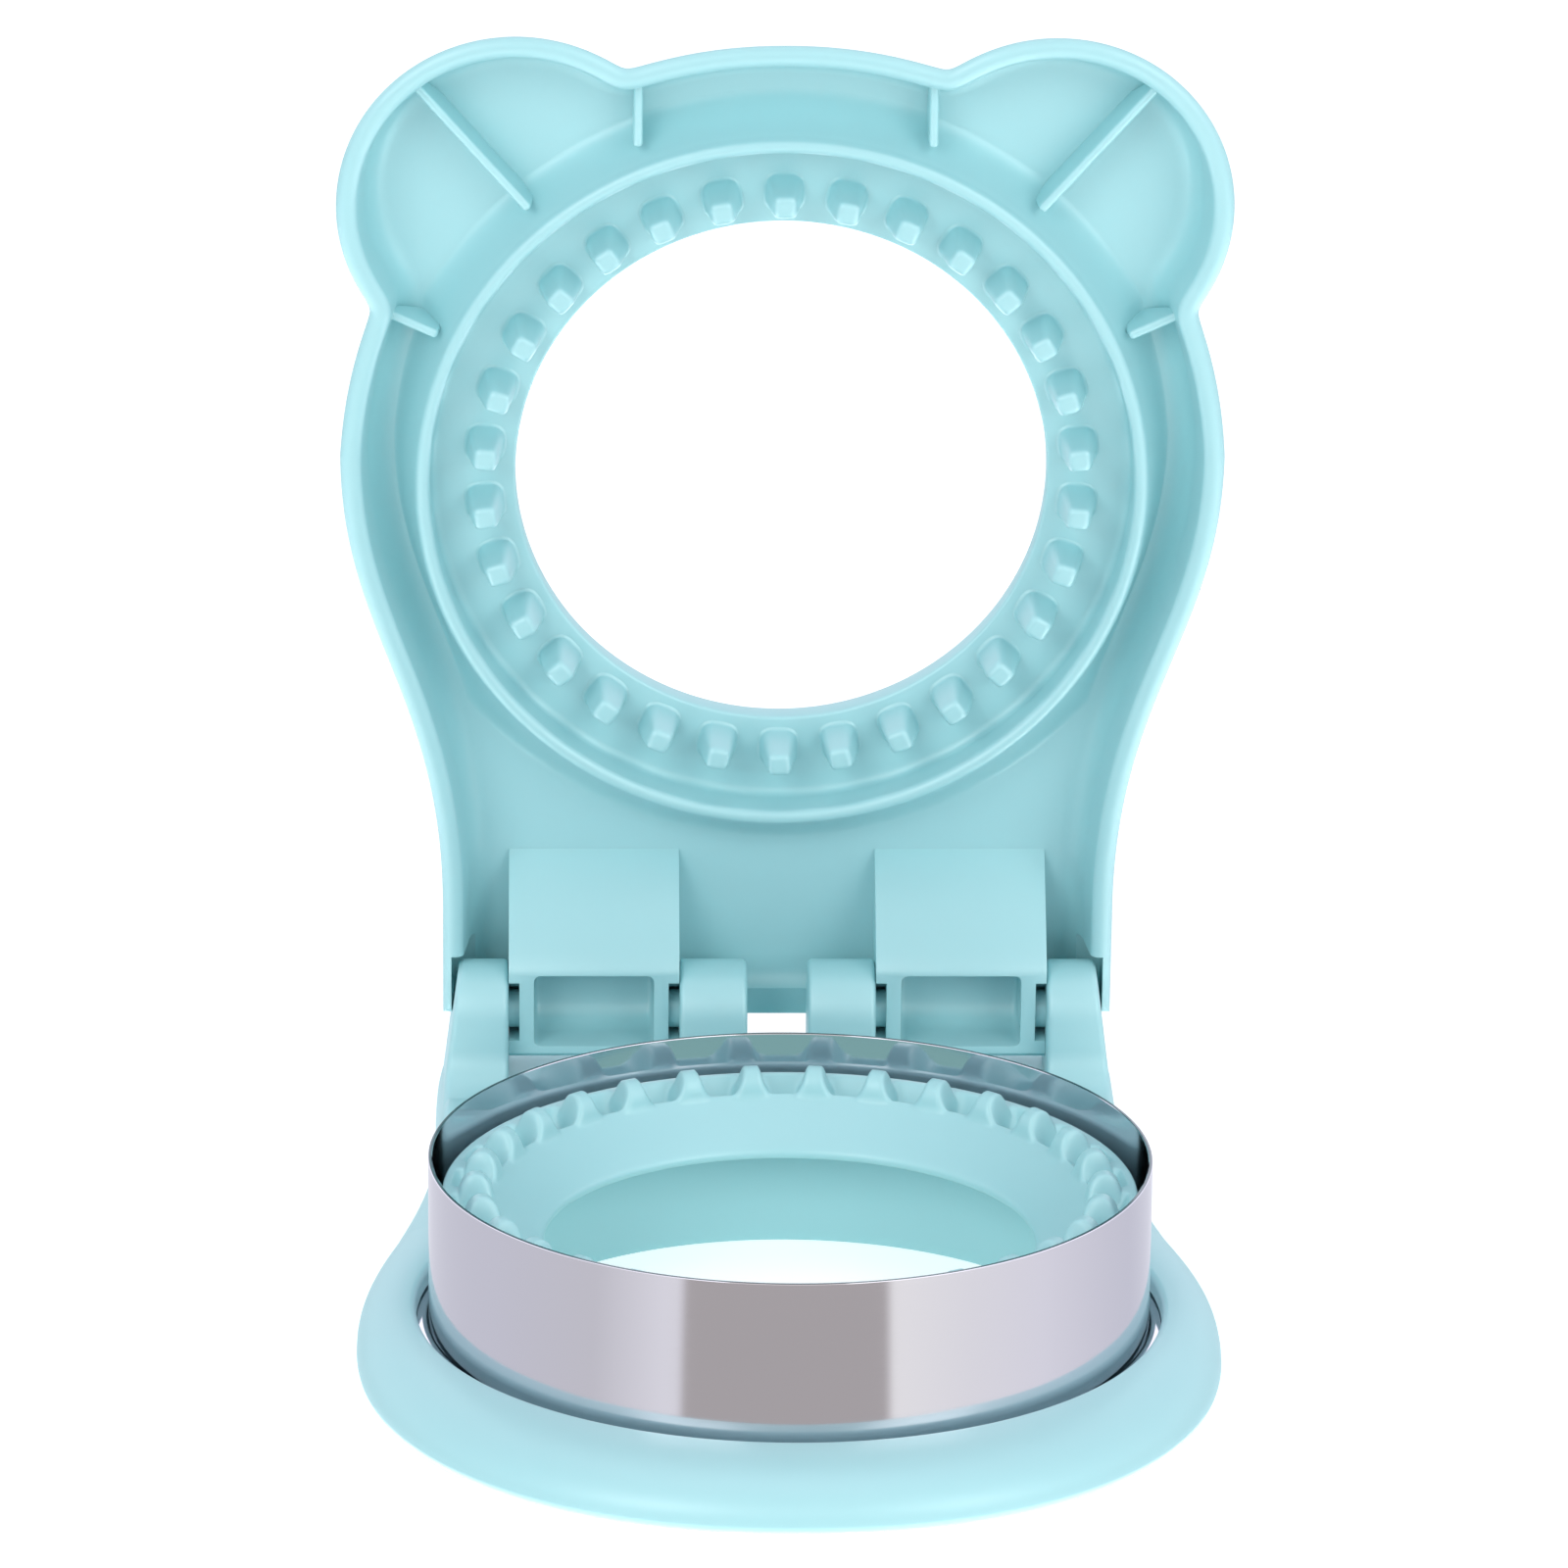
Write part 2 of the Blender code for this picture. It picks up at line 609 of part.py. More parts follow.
def base_shell():
    """Deck, dome and foot in one moulding, with the hinge arms, posts and stub pins."""
    shell = loft("base_shell", deck_loops(base_outline()))
    parts = (
        prism("arm", arm_profile(), ARM_INNER, arm_outer_face),
        prism("post", arm_profile(), POST_INNER, POST_OUTER),
        prism("arm_pin", round_profile(PIN_RADIUS), ARM_INNER - PIN_REACH, ARM_INNER + OVERRUN),
        prism("post_pin", round_profile(PIN_RADIUS), POST_OUTER - OVERRUN, POST_OUTER + PIN_REACH),
    )
    for part in parts:
        combine(shell, [mirrored(part), part], "UNION")
    return shell


def lid_skin(outline, share):
    """Loop of the lid's outer skin at a share of its height: domed over the head, fuller at the neck."""
    late = max(share - NECK_SHOULDER_SHARE, 0.0) / (1.0 - NECK_SHOULDER_SHARE)
    head = LID_DOME_WIDTH * (1.0 - math.sqrt(1.0 - share ** LID_DOME_POWER))
    neck = NECK_SHOULDER_WIDTH * (1.0 - math.sqrt(1.0 - late ** 2)) + LID_RIM_ROUND * share
    loop = []
    for edge, domed, full in zip(outline, inset(outline, head), inset(outline, neck)):
        loop.append(domed.lerp(full, eased(edge[1], NECK_BLEND_LENGTH, NECK_END)))
    return at(loop, LID_RIM + (LID_TOP - LID_RIM) * share)


def lid_loops(outline):
    """Section of the lid from the hole, over the sealing face and raised wall, to the outer skin."""
    crest = WALL_CREST + WALL_CREST_ROUND
    wall_top = LID_WALL + LID_WALL_DRAFT
    wall_foot = inset(outline, wall_top + LID_FILLET_WIDTH)
    flank = no_further(circle(outline, WALL_OUTER + FLANK_WIDTH), outline, wall_foot, FLANK_MARGIN)
    across, up = LID_FILLET_SHARES
    bend = LID_CEILING - (1.0 - up) * LID_FILLET_HEIGHT
    loops = [
        at(circle(outline, LID_HOLE), SEAL_FACE),
        at(circle(outline, WALL_INNER), SEAL_FACE),
        at(circle(outline, WALL_INNER), crest),
        at(circle(outline, WALL_INNER + WALL_CREST_ROUND), WALL_CREST),
        at(circle(outline, WALL_OUTER - WALL_CREST_ROUND), WALL_CREST),
        at(circle(outline, WALL_OUTER), crest),
        at(flank, LID_CEILING),
        at(wall_foot, LID_CEILING),
        at(inset(outline, wall_top + across * LID_FILLET_WIDTH), bend),
        at(inset(outline, wall_top), LID_CEILING - LID_FILLET_HEIGHT),
        at(inset(outline, LID_WALL), LID_RIM + LID_RIM_ROUND),
        at(inset(outline, LID_WALL - LID_RIM_ROUND), LID_RIM),
        at(inset(outline, LID_RIM_ROUND), LID_RIM),
        at(outline, LID_RIM + LID_RIM_ROUND),
    ]
    for share in LID_DOME_SHARES:
        loops.append(lid_skin(outline, share))
    loops.append(at(circle(outline, LID_HOLE + LID_CROWN_WIDTH), LID_TOP))
    loops.append(at(circle(outline, LID_HOLE + LID_HOLE_ROUND), LID_TOP))
    loops.append(at(circle(outline, LID_HOLE), LID_TOP - LID_HOLE_ROUND))
    return loops


def lid_teeth():
    """Blocks with flared roots round the sealing face; one stands at the very front."""
    bm = bmesh.new()
    sections = (
        (TOOTH_TOP - LID_TOOTH_MESH, LID_TOOTH_TIP),
        (SEAL_FACE - LID_TOOTH_FLARE, LID_TOOTH_WAIST),
        (SEAL_FACE, LID_TOOTH_ROOT),
        (SEAL_FACE + OVERRUN, LID_TOOTH_ROOT),
    )
    for tooth in range(TOOTH_COUNT):
        angle = 2.0 * math.pi * tooth / TOOTH_COUNT
        out = Vector(polar(1.0, angle))
        along = Vector((-out.y, out.x))
        rows = []
        for height, size in sections:
            corners = []
            for side, way in ((-0.5, -0.5), (0.5, -0.5), (0.5, 0.5), (-0.5, 0.5)):
                place = out * (LID_TOOTH_RADIUS + side * size) + along * (way * size)
                corners.append(bm.verts.new((place.x, place.y, height)))
            rows.append(corners)
        bm.faces.new(rows[0])
        bm.faces.new(rows[-1])
        for low, high in zip(rows, rows[1:]):
            for i in range(4):
                j = (i + 1) % 4
                bm.faces.new((low[i], low[j], high[j], high[i]))
    return new_object("lid_teeth", bm)


def lid_rib(start, end):
    """An upright rib under the lid: slanted at the raised wall, its outer end inside the outer wall."""
    along = (end - start).normalized()
    side = Vector((along.y, -along.x)) * (0.5 * RIB_THICKNESS)
    length = (end - start).length
    crest = LID_RIM + RIB_DROP
    root = LID_CEILING + 0.2 * LID_SKIN
    up = LID_FILLET_SHARES[1]
    profile = (
        (RIB_END_SLANT, crest),
        (length, crest),
        (length - 0.6 * LID_FILLET_WIDTH, LID_CEILING - (1.0 - up) * LID_FILLET_HEIGHT),
        (length - 1.6 * LID_FILLET_WIDTH, root),
        (0.0, root),
    )
    bm = bmesh.new()
    faces = []
    for way in (1.0, -1.0):
        corners = []
        for reach, height in profile:
            place = start + along * reach + side * way
            corners.append(bm.verts.new((place.x, place.y, height)))
        faces.append(corners)
        bm.faces.new(corners)
    for i in range(len(profile)):
        j = (i + 1) % len(profile)
        bm.faces.new((faces[0][i], faces[0][j], faces[1][j], faces[1][i]))
    return new_object("lid_rib", bm)


def lid_ribs():
    """Ribs of one side: at the head's front, along the ear and at the notch below it."""
    inner = WALL_OUTER + RIB_SET_OUT
    front_inner = -math.sqrt(inner ** 2 - TOP_RIB_SIDE ** 2)
    front_angle = math.asin(TOP_RIB_SIDE / HEAD_FRONT)
    front_outer = -head_radius(front_angle) * math.cos(front_angle) + RIB_TUCK
    ribs = [lid_rib(Vector((TOP_RIB_SIDE, front_inner)), Vector((TOP_RIB_SIDE, front_outer)))]
    for angle in (EAR_ANGLE, SIDE_RIB_ANGLE):
        outer = head_radius(angle) - RIB_TUCK
        ribs.append(lid_rib(Vector(polar(inner, angle)), Vector(polar(outer, angle))))
    return ribs


def knuckle_profile():
    """Side view of a knuckle: flat face below, round back, ramp to the lid in front."""
    face = HINGE_HEIGHT - KNUCKLE_FACE
    root = LID_CEILING + 0.5 * (LID_TOP - LID_CEILING)
    back = HINGE_BACK + KNUCKLE_RADIUS
    points = [(HINGE_BACK - KNUCKLE_FRONT, face), (back - KNUCKLE_ROUND, face), (back, face + KNUCKLE_ROUND)]
    for turn in (0.0, 25.0, 45.0):
        bearing = math.radians(turn)
        points.append((HINGE_BACK + KNUCKLE_RADIUS * math.cos(bearing),
                       HINGE_HEIGHT + KNUCKLE_RADIUS * math.sin(bearing)))
    chin = HINGE_BACK + 0.3 * KNUCKLE_RADIUS
    points.append((chin, LID_CEILING))
    points.append((chin, root))
    points.append((HINGE_BACK - KNUCKLE_RAMP, root))
    points.append((HINGE_BACK - KNUCKLE_RAMP, LID_CEILING))
    return points


def knuckle_pocket_profile():
    """Side view of the scooped pocket in a knuckle's face."""
    mouth = HINGE_HEIGHT - KNUCKLE_FACE - OVERRUN
    front = HINGE_BACK - POCKET_FRONT
    back = HINGE_BACK + POCKET_BACK
    points = [(front, mouth), (back, mouth)]
    for turn in (36.0, 60.0, 90.0):
        bearing = math.radians(turn)
        points.append((min(HINGE_BACK + POCKET_RADIUS * math.cos(bearing), back),
                       HINGE_HEIGHT + POCKET_RADIUS * math.sin(bearing)))
    points.append((front, HINGE_HEIGHT + POCKET_FLOOR))
    return points


def channel_profile():
    """Lead-in for a stub pin: open below, round at the hinge axis."""
    mouth = HINGE_HEIGHT - KNUCKLE_FACE - OVERRUN
    half = CHANNEL_HALF
    points = [(HINGE_BACK - half, mouth), (HINGE_BACK + half, mouth)]
    for i in range(ARM_STEPS // 2 + 1):
        turn = math.pi * i / (ARM_STEPS // 2)
        points.append((HINGE_BACK + half * math.cos(turn), HINGE_HEIGHT + half * math.sin(turn)))
    return points


def knuckle():
    """One hollow knuckle with a lead-in channel and a pin hole on each side."""
    block = prism("knuckle", knuckle_profile(), KNUCKLE_INNER, KNUCKLE_OUTER)
    wall_outer = KNUCKLE_OUTER - KNUCKLE_SIDE
    wall_inner = KNUCKLE_INNER + KNUCKLE_SIDE
    pocket_low = wall_inner + KNUCKLE_WALL
    pocket_high = wall_outer - KNUCKLE_WALL
    hole = round_profile(PIN_RADIUS + PIN_CLEARANCE)
    cuts = [
        prism("pocket", knuckle_pocket_profile(), pocket_low, pocket_high),
        prism("outer_channel", channel_profile(), wall_outer, KNUCKLE_OUTER + OVERRUN),
        prism("inner_channel", channel_profile(), KNUCKLE_INNER - OVERRUN, wall_inner),
        prism("outer_hole", hole, pocket_high - OVERRUN, wall_outer + OVERRUN),
        prism("inner_hole", hole, wall_inner - OVERRUN, pocket_low + OVERRUN),
    ]
    combine(block, cuts, "DIFFERENCE")
    return block


def hinge_reliefs():
    """Cuts that clear the neck of the lid for the base's arms and posts."""
    low = LID_RIM - OVERRUN
    ceiling = HINGE_HEIGHT + RELIEF_CEILING
    far = CHIN_BACK + OVERRUN
    neck = NECK_HALF_WIDTH + OVERRUN
    end = HINGE_BACK + WALL_END_REACH
    wall_end = [(far, low), (far, ceiling), (end + WALL_END_SLANT, ceiling), (end, LID_RIM + WALL_END_ROUND)]
    for turn in (30.0, 60.0):
        bearing = math.radians(turn)
        wall_end.append((end - WALL_END_ROUND * (1.0 - math.cos(bearing)),
                         LID_RIM + WALL_END_ROUND * (1.0 - math.sin(bearing))))
    wall_end.append((wall_end[-1][0], low))
    front = HINGE_BACK - RELIEF_REACH
    middle = [(front, low), (far, low), (far, ceiling), (front, ceiling)]
    front = HINGE_BACK - ARM_SLOT_REACH
    slot = [(front, low), (far, low), (far, ceiling), (front, ceiling)]
    arm_slot = prism("arm_slot", slot, KNUCKLE_OUTER - KNUCKLE_SIDE,
                     arm_outer_face(HINGE_HEIGHT) + ARM_SLOT_CLEARANCE)
    return [
        prism("wall_end", wall_end, -neck, neck),
        prism("middle", middle, -ARM_INNER, ARM_INNER),
        mirrored(arm_slot),
        arm_slot,
    ]


def lid_shell():
    """Hollow head with sealing face, raised wall, teeth, ribs and hinge knuckles."""
    shell = loft("lid_shell", lid_loops(lid_outline()))
    combine(shell, hinge_reliefs(), "DIFFERENCE")
    combine(shell, [lid_teeth()], "UNION")
    for rib in lid_ribs():
        combine(shell, [mirrored(rib), rib], "UNION")
    block = knuckle()
    combine(shell, [mirrored(block), block], "UNION")
    return shell


def empty(name, location, parent=None):
    """A marker that carries pieces."""
    made = bpy.data.objects.new(name, None)
    made.location = location
    made.parent = parent
    bpy.context.collection.objects.link(made)
    return made


def centre_on_footprint(carrier, pieces):
    """Move the whole object so that the middle of its box on the table is the origin."""
    bpy.context.view_layer.update()
    corners = []
    for piece in pieces:
        corners += [piece.matrix_world @ vertex.co for vertex in piece.data.vertices]
    for axis in (0, 1):
        places = [corner[axis] for corner in corners]
        carrier.location[axis] -= 0.5 * (min(places) + max(places))
    bpy.context.view_layer.update()


def build():
    """Make every piece, hang the lid on its hinge and swing it open."""
    clear_scene()
    base_plastic = material("aqua_plastic_base", "A6E1E6", 0.42, 0.0)
    crimp_plastic = material("aqua_plastic_crimp_ring", "A6E1E6", 0.42, 0.0)
    lid_plastic = material("aqua_plastic_lid", "A9E3E8", 0.42, 0.0)
    steel = material("polished_stainless_steel", "C9C6CE", 0.12, 1.0)

    carrier = empty("product", (0.0, 0.0, 0.0))
    hinge_place = Vector((0.0, HINGE_BACK, HINGE_HEIGHT))
    lid_pivot = empty("lid_pivot", hinge_place, carrier)

    base = finish(base_shell(), base_plastic)
    crimp = finish(lower_crimp_ring(), crimp_plastic)
    ring = finish(cutter_ring(), steel)
    lid = finish(lid_shell(), lid_plastic)
    for piece in (base, crimp, ring):
        piece.parent = carrier
    lid.data.transform(Matrix.Translation(-hinge_place))
    lid.parent = lid_pivot
    lid_pivot.rotation_euler.x = LID_LEAN - 0.5 * math.pi

    centre_on_footprint(carrier, (base, crimp, ring, lid))
    print("hinge axis at", [round(value, 6) for value in lid_pivot.matrix_world.translation])
    print("ring axis at", [round(value, 6) for value in carrier.matrix_world.translation])


build()
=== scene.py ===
import json
import math

import bmesh
import bpy
import numpy as np
from mathutils import Matrix, Vector


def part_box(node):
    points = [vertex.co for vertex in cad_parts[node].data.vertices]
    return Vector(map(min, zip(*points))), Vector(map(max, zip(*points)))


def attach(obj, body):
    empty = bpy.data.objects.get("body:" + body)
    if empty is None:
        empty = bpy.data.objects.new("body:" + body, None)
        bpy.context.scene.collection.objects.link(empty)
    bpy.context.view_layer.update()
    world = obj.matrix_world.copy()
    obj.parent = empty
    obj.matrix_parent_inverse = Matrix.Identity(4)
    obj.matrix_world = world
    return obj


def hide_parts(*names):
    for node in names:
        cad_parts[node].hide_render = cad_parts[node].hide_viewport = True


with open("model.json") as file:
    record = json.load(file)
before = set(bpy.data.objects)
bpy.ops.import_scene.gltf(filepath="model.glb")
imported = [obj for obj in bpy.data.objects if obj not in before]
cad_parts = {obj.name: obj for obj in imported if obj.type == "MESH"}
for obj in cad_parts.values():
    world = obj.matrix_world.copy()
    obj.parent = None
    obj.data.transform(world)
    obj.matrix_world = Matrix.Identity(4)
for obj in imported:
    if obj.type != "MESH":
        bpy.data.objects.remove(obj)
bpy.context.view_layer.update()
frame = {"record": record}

MM = 0.001

# Places taken from the frame: the ring's axis and the lid's hinge
ring_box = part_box("cutter_ring")
RING_Y = 0.5 * (ring_box[0][1] + ring_box[1][1])
HINGE = Vector(frame["record"]["behaviour"]["joints"][0]["pos_m"])
HINGE_BACK = HINGE.y - RING_Y
HINGE_HEIGHT = HINGE.z
LEAN = math.radians(5.0)

# Places along Y are measured from the ring's axis, and heights from the table with the lid closed.

# Sizes of the steel ring
RING_RADIUS = 45.0 * MM
RING_WALL = 0.5 * MM
RING_TOP = 26.7 * MM
RING_EDGE = 0.12 * MM
RING_BEND = 0.8 * MM
RING_HEM = 2.1 * MM
RING_SEAT_GAP = 0.3 * MM
WELD_PLACE = -4.4 * MM
WELD_HALF_WIDTH = 0.12 * MM
# Height of the band at the top edge whose colour is painted darker, as shade
EDGE_SHADE_BAND = 0.06 * MM

# Sizes of the base
BASE_HALF_WIDTH = 54.0 * MM
BASE_FRONT = 59.5 * MM
BASE_POWER = 2.2
BASE_NECK = 45.0 * MM
BASE_NECK_SHARE = 0.8
BASE_BACK = HINGE_BACK + 9.0 * MM
BASE_CORNER = 3.0 * MM
BASE_WALL = 2.0 * MM
BASE_CEILING_INSET = 3.1 * MM
BASE_TRIM = 0.03 * MM
DECK_HEIGHT = 7.2 * MM
DECK_WALL = 2.2 * MM
DECK_HOLE = 46.55 * MM
DECK_HOLE_ROUND = 0.9 * MM
CROWN_RADIUS = 48.65 * MM
DOME_WIDTH = 10.0 * MM
DOME_BACK_WIDTH = 3.5 * MM
DOME_BLEND = 35.0 * MM
DOME_OVERLAP = 0.985
FOOT_HEIGHT = 1.3 * MM
RAISED_DECK = 4.3 * MM
RAISE_LENGTH = 10.0 * MM
RAISE_END = RING_RADIUS + 15.0 * MM
COLLAR_RADIUS = 49.3 * MM
COLLAR_WALL = 1.4 * MM
COLLAR_DROP = 2.9 * MM

# Sections of the base: arc of the opening's edge, shares of the dome's width, depth and height of
# the foot's loops in mm, and shares of the hollow's width
DECK_EDGE_DEGREES = (20.0, 45.0, 70.0)
DOME_SHARES = (
    1.0, 0.92, 0.84, 0.76, 0.68, 0.6, 0.52, 0.44, 0.36,
    0.29, 0.22, 0.16, 0.11, 0.07, 0.04, 0.015, 0.0)
FOOT_LOOPS = (
    (0.02, 1.1), (0.1, 0.8), (0.3, 0.48), (0.65, 0.2), (1.05, 0.04), (1.4, 0.0), (2.0, 0.0))
HOLLOW_SHARES = (0.8, 0.6, 0.4, 0.2)

# Sizes of the hinge
ARM_RADIUS = 6.5 * MM
ARM_INNER = 35.3 * MM
ARM_TOP_OUTER = 41.8 * MM
ARM_FOOT_OUTER = 44.9 * MM
ARM_ROOT = 2.6 * MM
ARM_SWEEP_LENGTH = 9.0 * MM
ARM_SWEEP_HEIGHT = 6.0 * MM
ARM_SWEEP_SINK = 0.85 * MM
ARM_SWEEP_ROOT = 1.5 * MM
ARM_ROUND = 0.8 * MM
POST_INNER = 4.0 * MM
POST_OUTER = 12.85 * MM
POST_ROUND = 0.7 * MM
PIN_RADIUS = 2.5 * MM
PIN_REACH = 3.3 * MM
PIN_ROUND = 0.3 * MM
PIN_HOLE_GAP = 0.1 * MM
KNUCKLE_INNER = 12.9 * MM
KNUCKLE_OUTER = 35.27 * MM
KNUCKLE_WALL = 1.4 * MM
KNUCKLE_RADIUS = 5.5 * MM
KNUCKLE_FACE_DROP = 3.6 * MM
KNUCKLE_EDGE = 0.6 * MM
KNUCKLE_FRONT = 7.3 * MM
KNUCKLE_LEAD_LENGTH = 3.5 * MM
KNUCKLE_LEAD_BACK = 1.0 * MM
KNUCKLE_RAMP = 19.0 * MM
KNUCKLE_CHIN = 1.65 * MM
KNUCKLE_ROOT = 1.6 * MM
KNUCKLE_ROUND = 0.4 * MM
KNUCKLE_BACK_DEGREES = (0.0, 12.0, 24.0, 36.0, 48.0)
MOUTH_DROP = 4.6 * MM
POCKET_INSET = 1.9 * MM
POCKET_FRONT = 6.2 * MM
POCKET_BACK = 3.9 * MM
POCKET_RADIUS = 3.8 * MM
POCKET_RISE = 1.0 * MM
POCKET_FRONT_RISE = 5.8 * MM
POCKET_ROUND = 0.9 * MM
POCKET_DEGREES = (0.0, 15.0, 30.0, 45.0, 60.0, 75.0, 90.0)
CHANNEL_RADIUS = 3.15 * MM
CHANNEL_LEAD = 5.0 * MM
CHANNEL_MOUTH = 0.3 * MM
CHANNEL_THROAT = 0.6 * MM
CHANNEL_THROAT_DROP = 1.2 * MM
CHANNEL_LEAD_DROP = 2.6 * MM
OVERRUN = 1.0 * MM

# Sizes of the lid
HEAD_HALF_WIDTH = 57.1 * MM
HEAD_FRONT = 60.6 * MM
HEAD_POWER = 2.1
EAR_RADIUS = 22.95 * MM
EAR_DISTANCE = 51.75 * MM
EAR_ANGLE = math.radians(41.5)
EAR_BLEND = 1.0 * MM
NECK_HALF_WIDTH = 44.0 * MM
NECK_START = 5.0 * MM
NECK_END = HINGE_BACK - 14.7 * MM
NECK_PULL_FRONT = 25.0 * MM
NECK_PULL_BACK = 30.0 * MM
NECK_BLEND = 45.0 * MM
NECK_SHOULDER = 4.0 * MM
NECK_SHOULDER_SHARE = 0.45
NECK_DRAFT = 0.5 * MM
CHIN_BACK = HINGE_BACK + 4.8 * MM
CHIN_CORNER = 3.6 * MM
LID_TRIM = 0.1 * MM
LID_RIM = 19.7 * MM
LID_CEILING = 29.1 * MM
LID_TOP = 32.3 * MM
LID_TOP_INNER = 41.0 * MM
LID_WALL = 2.75 * MM
LID_RIM_FLATTEN = 0.75
LID_FILLET_INSET = 3.3 * MM
LID_FILLET_WIDTH = 3.1 * MM
LID_FILLET_HEIGHT = 4.6 * MM
LID_DOME_WIDTH = 11.0 * MM
LID_DOME_POWER = 1.5
LID_HOLE = 34.4 * MM
LID_HOLE_ROUND = 0.4 * MM
LID_HOLE_BACK_ROUND = 1.8 * MM
SEAL_FACE = 27.8 * MM
WALL_INNER = 45.4 * MM
WALL_OUTER = 47.4 * MM
WALL_CREST = 22.0 * MM
WALL_FOOT_ROUND = 1.2 * MM
FLANK_WIDTH = 4.6 * MM
FLANK_DROP = 0.8 * MM
FLANK_POWER = 1.6
FLANK_GAP = 0.4 * MM
FLANK_FOOT_INSET = 6.4 * MM
SLOT_CLEARANCE = 0.1 * MM
SLOT_REACH = 7.5 * MM
MIDDLE_REACH = 7.6 * MM
SLOT_CEILING = 7.5 * MM
CUT_DEPTH = 2.0 * MM
WALL_END_REACH = 0.85 * MM
WALL_END_SLANT = 3.2 * MM
WALL_END_ROUND = 1.6 * MM
WALL_END_DEGREES = (15.0, 30.0, 45.0, 60.0, 72.0)

# Sections of the lid: arcs in degrees, shares of a stretch, and radii on the sealing face in mm
LID_HOLE_DEGREES = (0.0, 30.0, 60.0, 90.0)
SEAL_FACE_RADII = (36.5, 39.0, 41.5, 43.3)
WALL_FOOT_DEGREES = (90.0, 70.0, 50.0, 30.0, 0.0)
WALL_CREST_DEGREES = (0.0, 30.0, 60.0, 90.0, 120.0, 150.0, 180.0)
FLANK_SHARES = (0.06, 0.14, 0.25, 0.4, 0.55, 0.7, 0.82, 0.92, 1.0)
CEILING_SHARES = (0.06, 0.4, 0.7, 0.94)
LID_FILLET_DEGREES = (0.0, 15.0, 30.0, 45.0, 60.0, 75.0, 90.0)
LID_RIM_DEGREES = (0.0, 15.0, 32.0, 50.0, 70.0, 90.0, 110.0, 130.0, 148.0, 165.0, 180.0)
LID_SKIN_SHARES = (
    0.11, 0.17, 0.24, 0.32, 0.4, 0.48, 0.56, 0.64,
    0.72, 0.79, 0.85, 0.9, 0.94, 0.97, 0.99, 1.0)
LID_HOLE_BACK_DEGREES = (90.0, 60.0, 30.0, 0.0)

# Ribs of the lid: the upright pair, then bearing and start of each slanted pair
UPRIGHT_RIB_SIDE = 18.8 * MM
UPRIGHT_RIB_START = 49.1 * MM
SLANTED_RIBS = ((math.radians(41.0), 49.1 * MM), (math.radians(65.2), 48.2 * MM))
RIB_HALF_WIDTH = 0.6 * MM
RIB_CREST = LID_RIM + 3.4 * MM
RIB_ROOT = LID_CEILING + 0.6 * MM
RIB_TUCK = 1.9 * MM
RIB_FRONT_CHAMFER = 0.7 * MM
RIB_OUTER_DROP = 2.3 * MM
RIB_OUTER_ROOT = 5.0 * MM
RIB_ROUND = 0.5 * MM

# Teeth of the lid: height above the tip and half width of each section, in mm
TOOTH_COUNT = 30
LID_TOOTH_RADIUS = 38.5 * MM
LID_TOOTH_TOP = 21.1 * MM
LID_TOOTH_SECTIONS = (
    (0.0, 0.6), (0.0, 0.85), (0.07, 1.08), (0.2, 1.27), (0.4, 1.42),
    (0.75, 1.54), (1.8, 1.7), (3.2, 1.9), (4.6, 2.08), (5.6, 2.2),
    (6.1, 2.29), (6.4, 2.4), (6.58, 2.55), (6.68, 2.76), (7.0, 2.76))
LID_TOOTH_FLARE = 2.3
LID_TOOTH_POWER = 4.5
LID_TOOTH_FLARE_POWER = 3.0

# Lower sealing ring, all in mm: radius and height of the loops, then its cone, bowls and teeth
SLEEVE_LOOPS = (
    (39.4, 0.3), (50.3, 0.3), (50.3, 1.8), (47.6, 1.8), (47.6, 3.9), (45.2, 3.9),
    (45.2, 1.8), (43.3, 1.8), (43.3, 12.0), (43.3, 21.5), (43.25, 21.76), (43.12, 21.92))
CONE_FOOT_LOOPS = (
    (31.0, 15.96), (30.8, 15.75), (30.66, 15.5), (30.6, 15.25), (30.68, 14.9),
    (31.0, 14.6), (31.6, 14.6), (37.2, 18.0), (40.3, 18.0), (40.8, 17.6))
TOOTHED_RADII = np.arange(42.92, 35.9, -0.13)
CONE_RADII = (35.3, 34.0, 32.6, 31.3)
CONE_RADIUS = 37.2
CONE_HEIGHT = 20.9
CONE_SLOPE = 4.9 / 6.2
LIP_HEIGHT = 22.0
LIP_BLEND = 0.35
BOWL_CENTRE = 39.85
BOWL_HALF_LENGTH = 2.45
BOWL_DEPTH = 2.6
BOWL_POWER = 1.3
ARCH_CENTRE = 39.1
ARCH_HALF_LENGTH = 2.2
ARCH_RISE = 3.3
ARCH_POWER = 2.2
ARCH_FALL = 9.0
TOOTH_BLEND = 0.4
TOOTH_SINK = 0.01

# Shape of a lower tooth across its share of the circle
TOOTH_SHARES = (
    0.0, 0.06, 0.1, 0.125, 0.145, 0.165, 0.185, 0.205,
    0.225, 0.245, 0.27, 0.3, 0.34, 0.39, 0.44, 0.5)
TOOTH_FLAT_SHARE = 0.095
TOOTH_FLANK_SHARE = 0.265
TOOTH_FLANK_POWER = 1.5

# Fineness of the meshes
RING_STEPS = 360
BEND_STEPS = 4
BASE_STEPS = 600
LID_STEPS = 720
LID_TOOTH_STEPS = 28
ARM_STEPS = 28
ARM_SWEEP_STEPS = 12
PIN_STEPS = 40
CHANNEL_STEPS = 16
KNUCKLE_LEAD_STEPS = 6
DECK_STEPS = 16
HEAD_SAMPLES = 1600
NECK_SAMPLES = 700
CHEEK_SAMPLES = 200
FRONT_SAMPLES = 1200
FLANK_SAMPLES = 900
CORNER_SAMPLES = 60
BACK_SAMPLES = 400
BEARING_SAMPLES = 3000
LEAST_INSET = 0.3 * MM
MERGE_DISTANCE = 1e-7

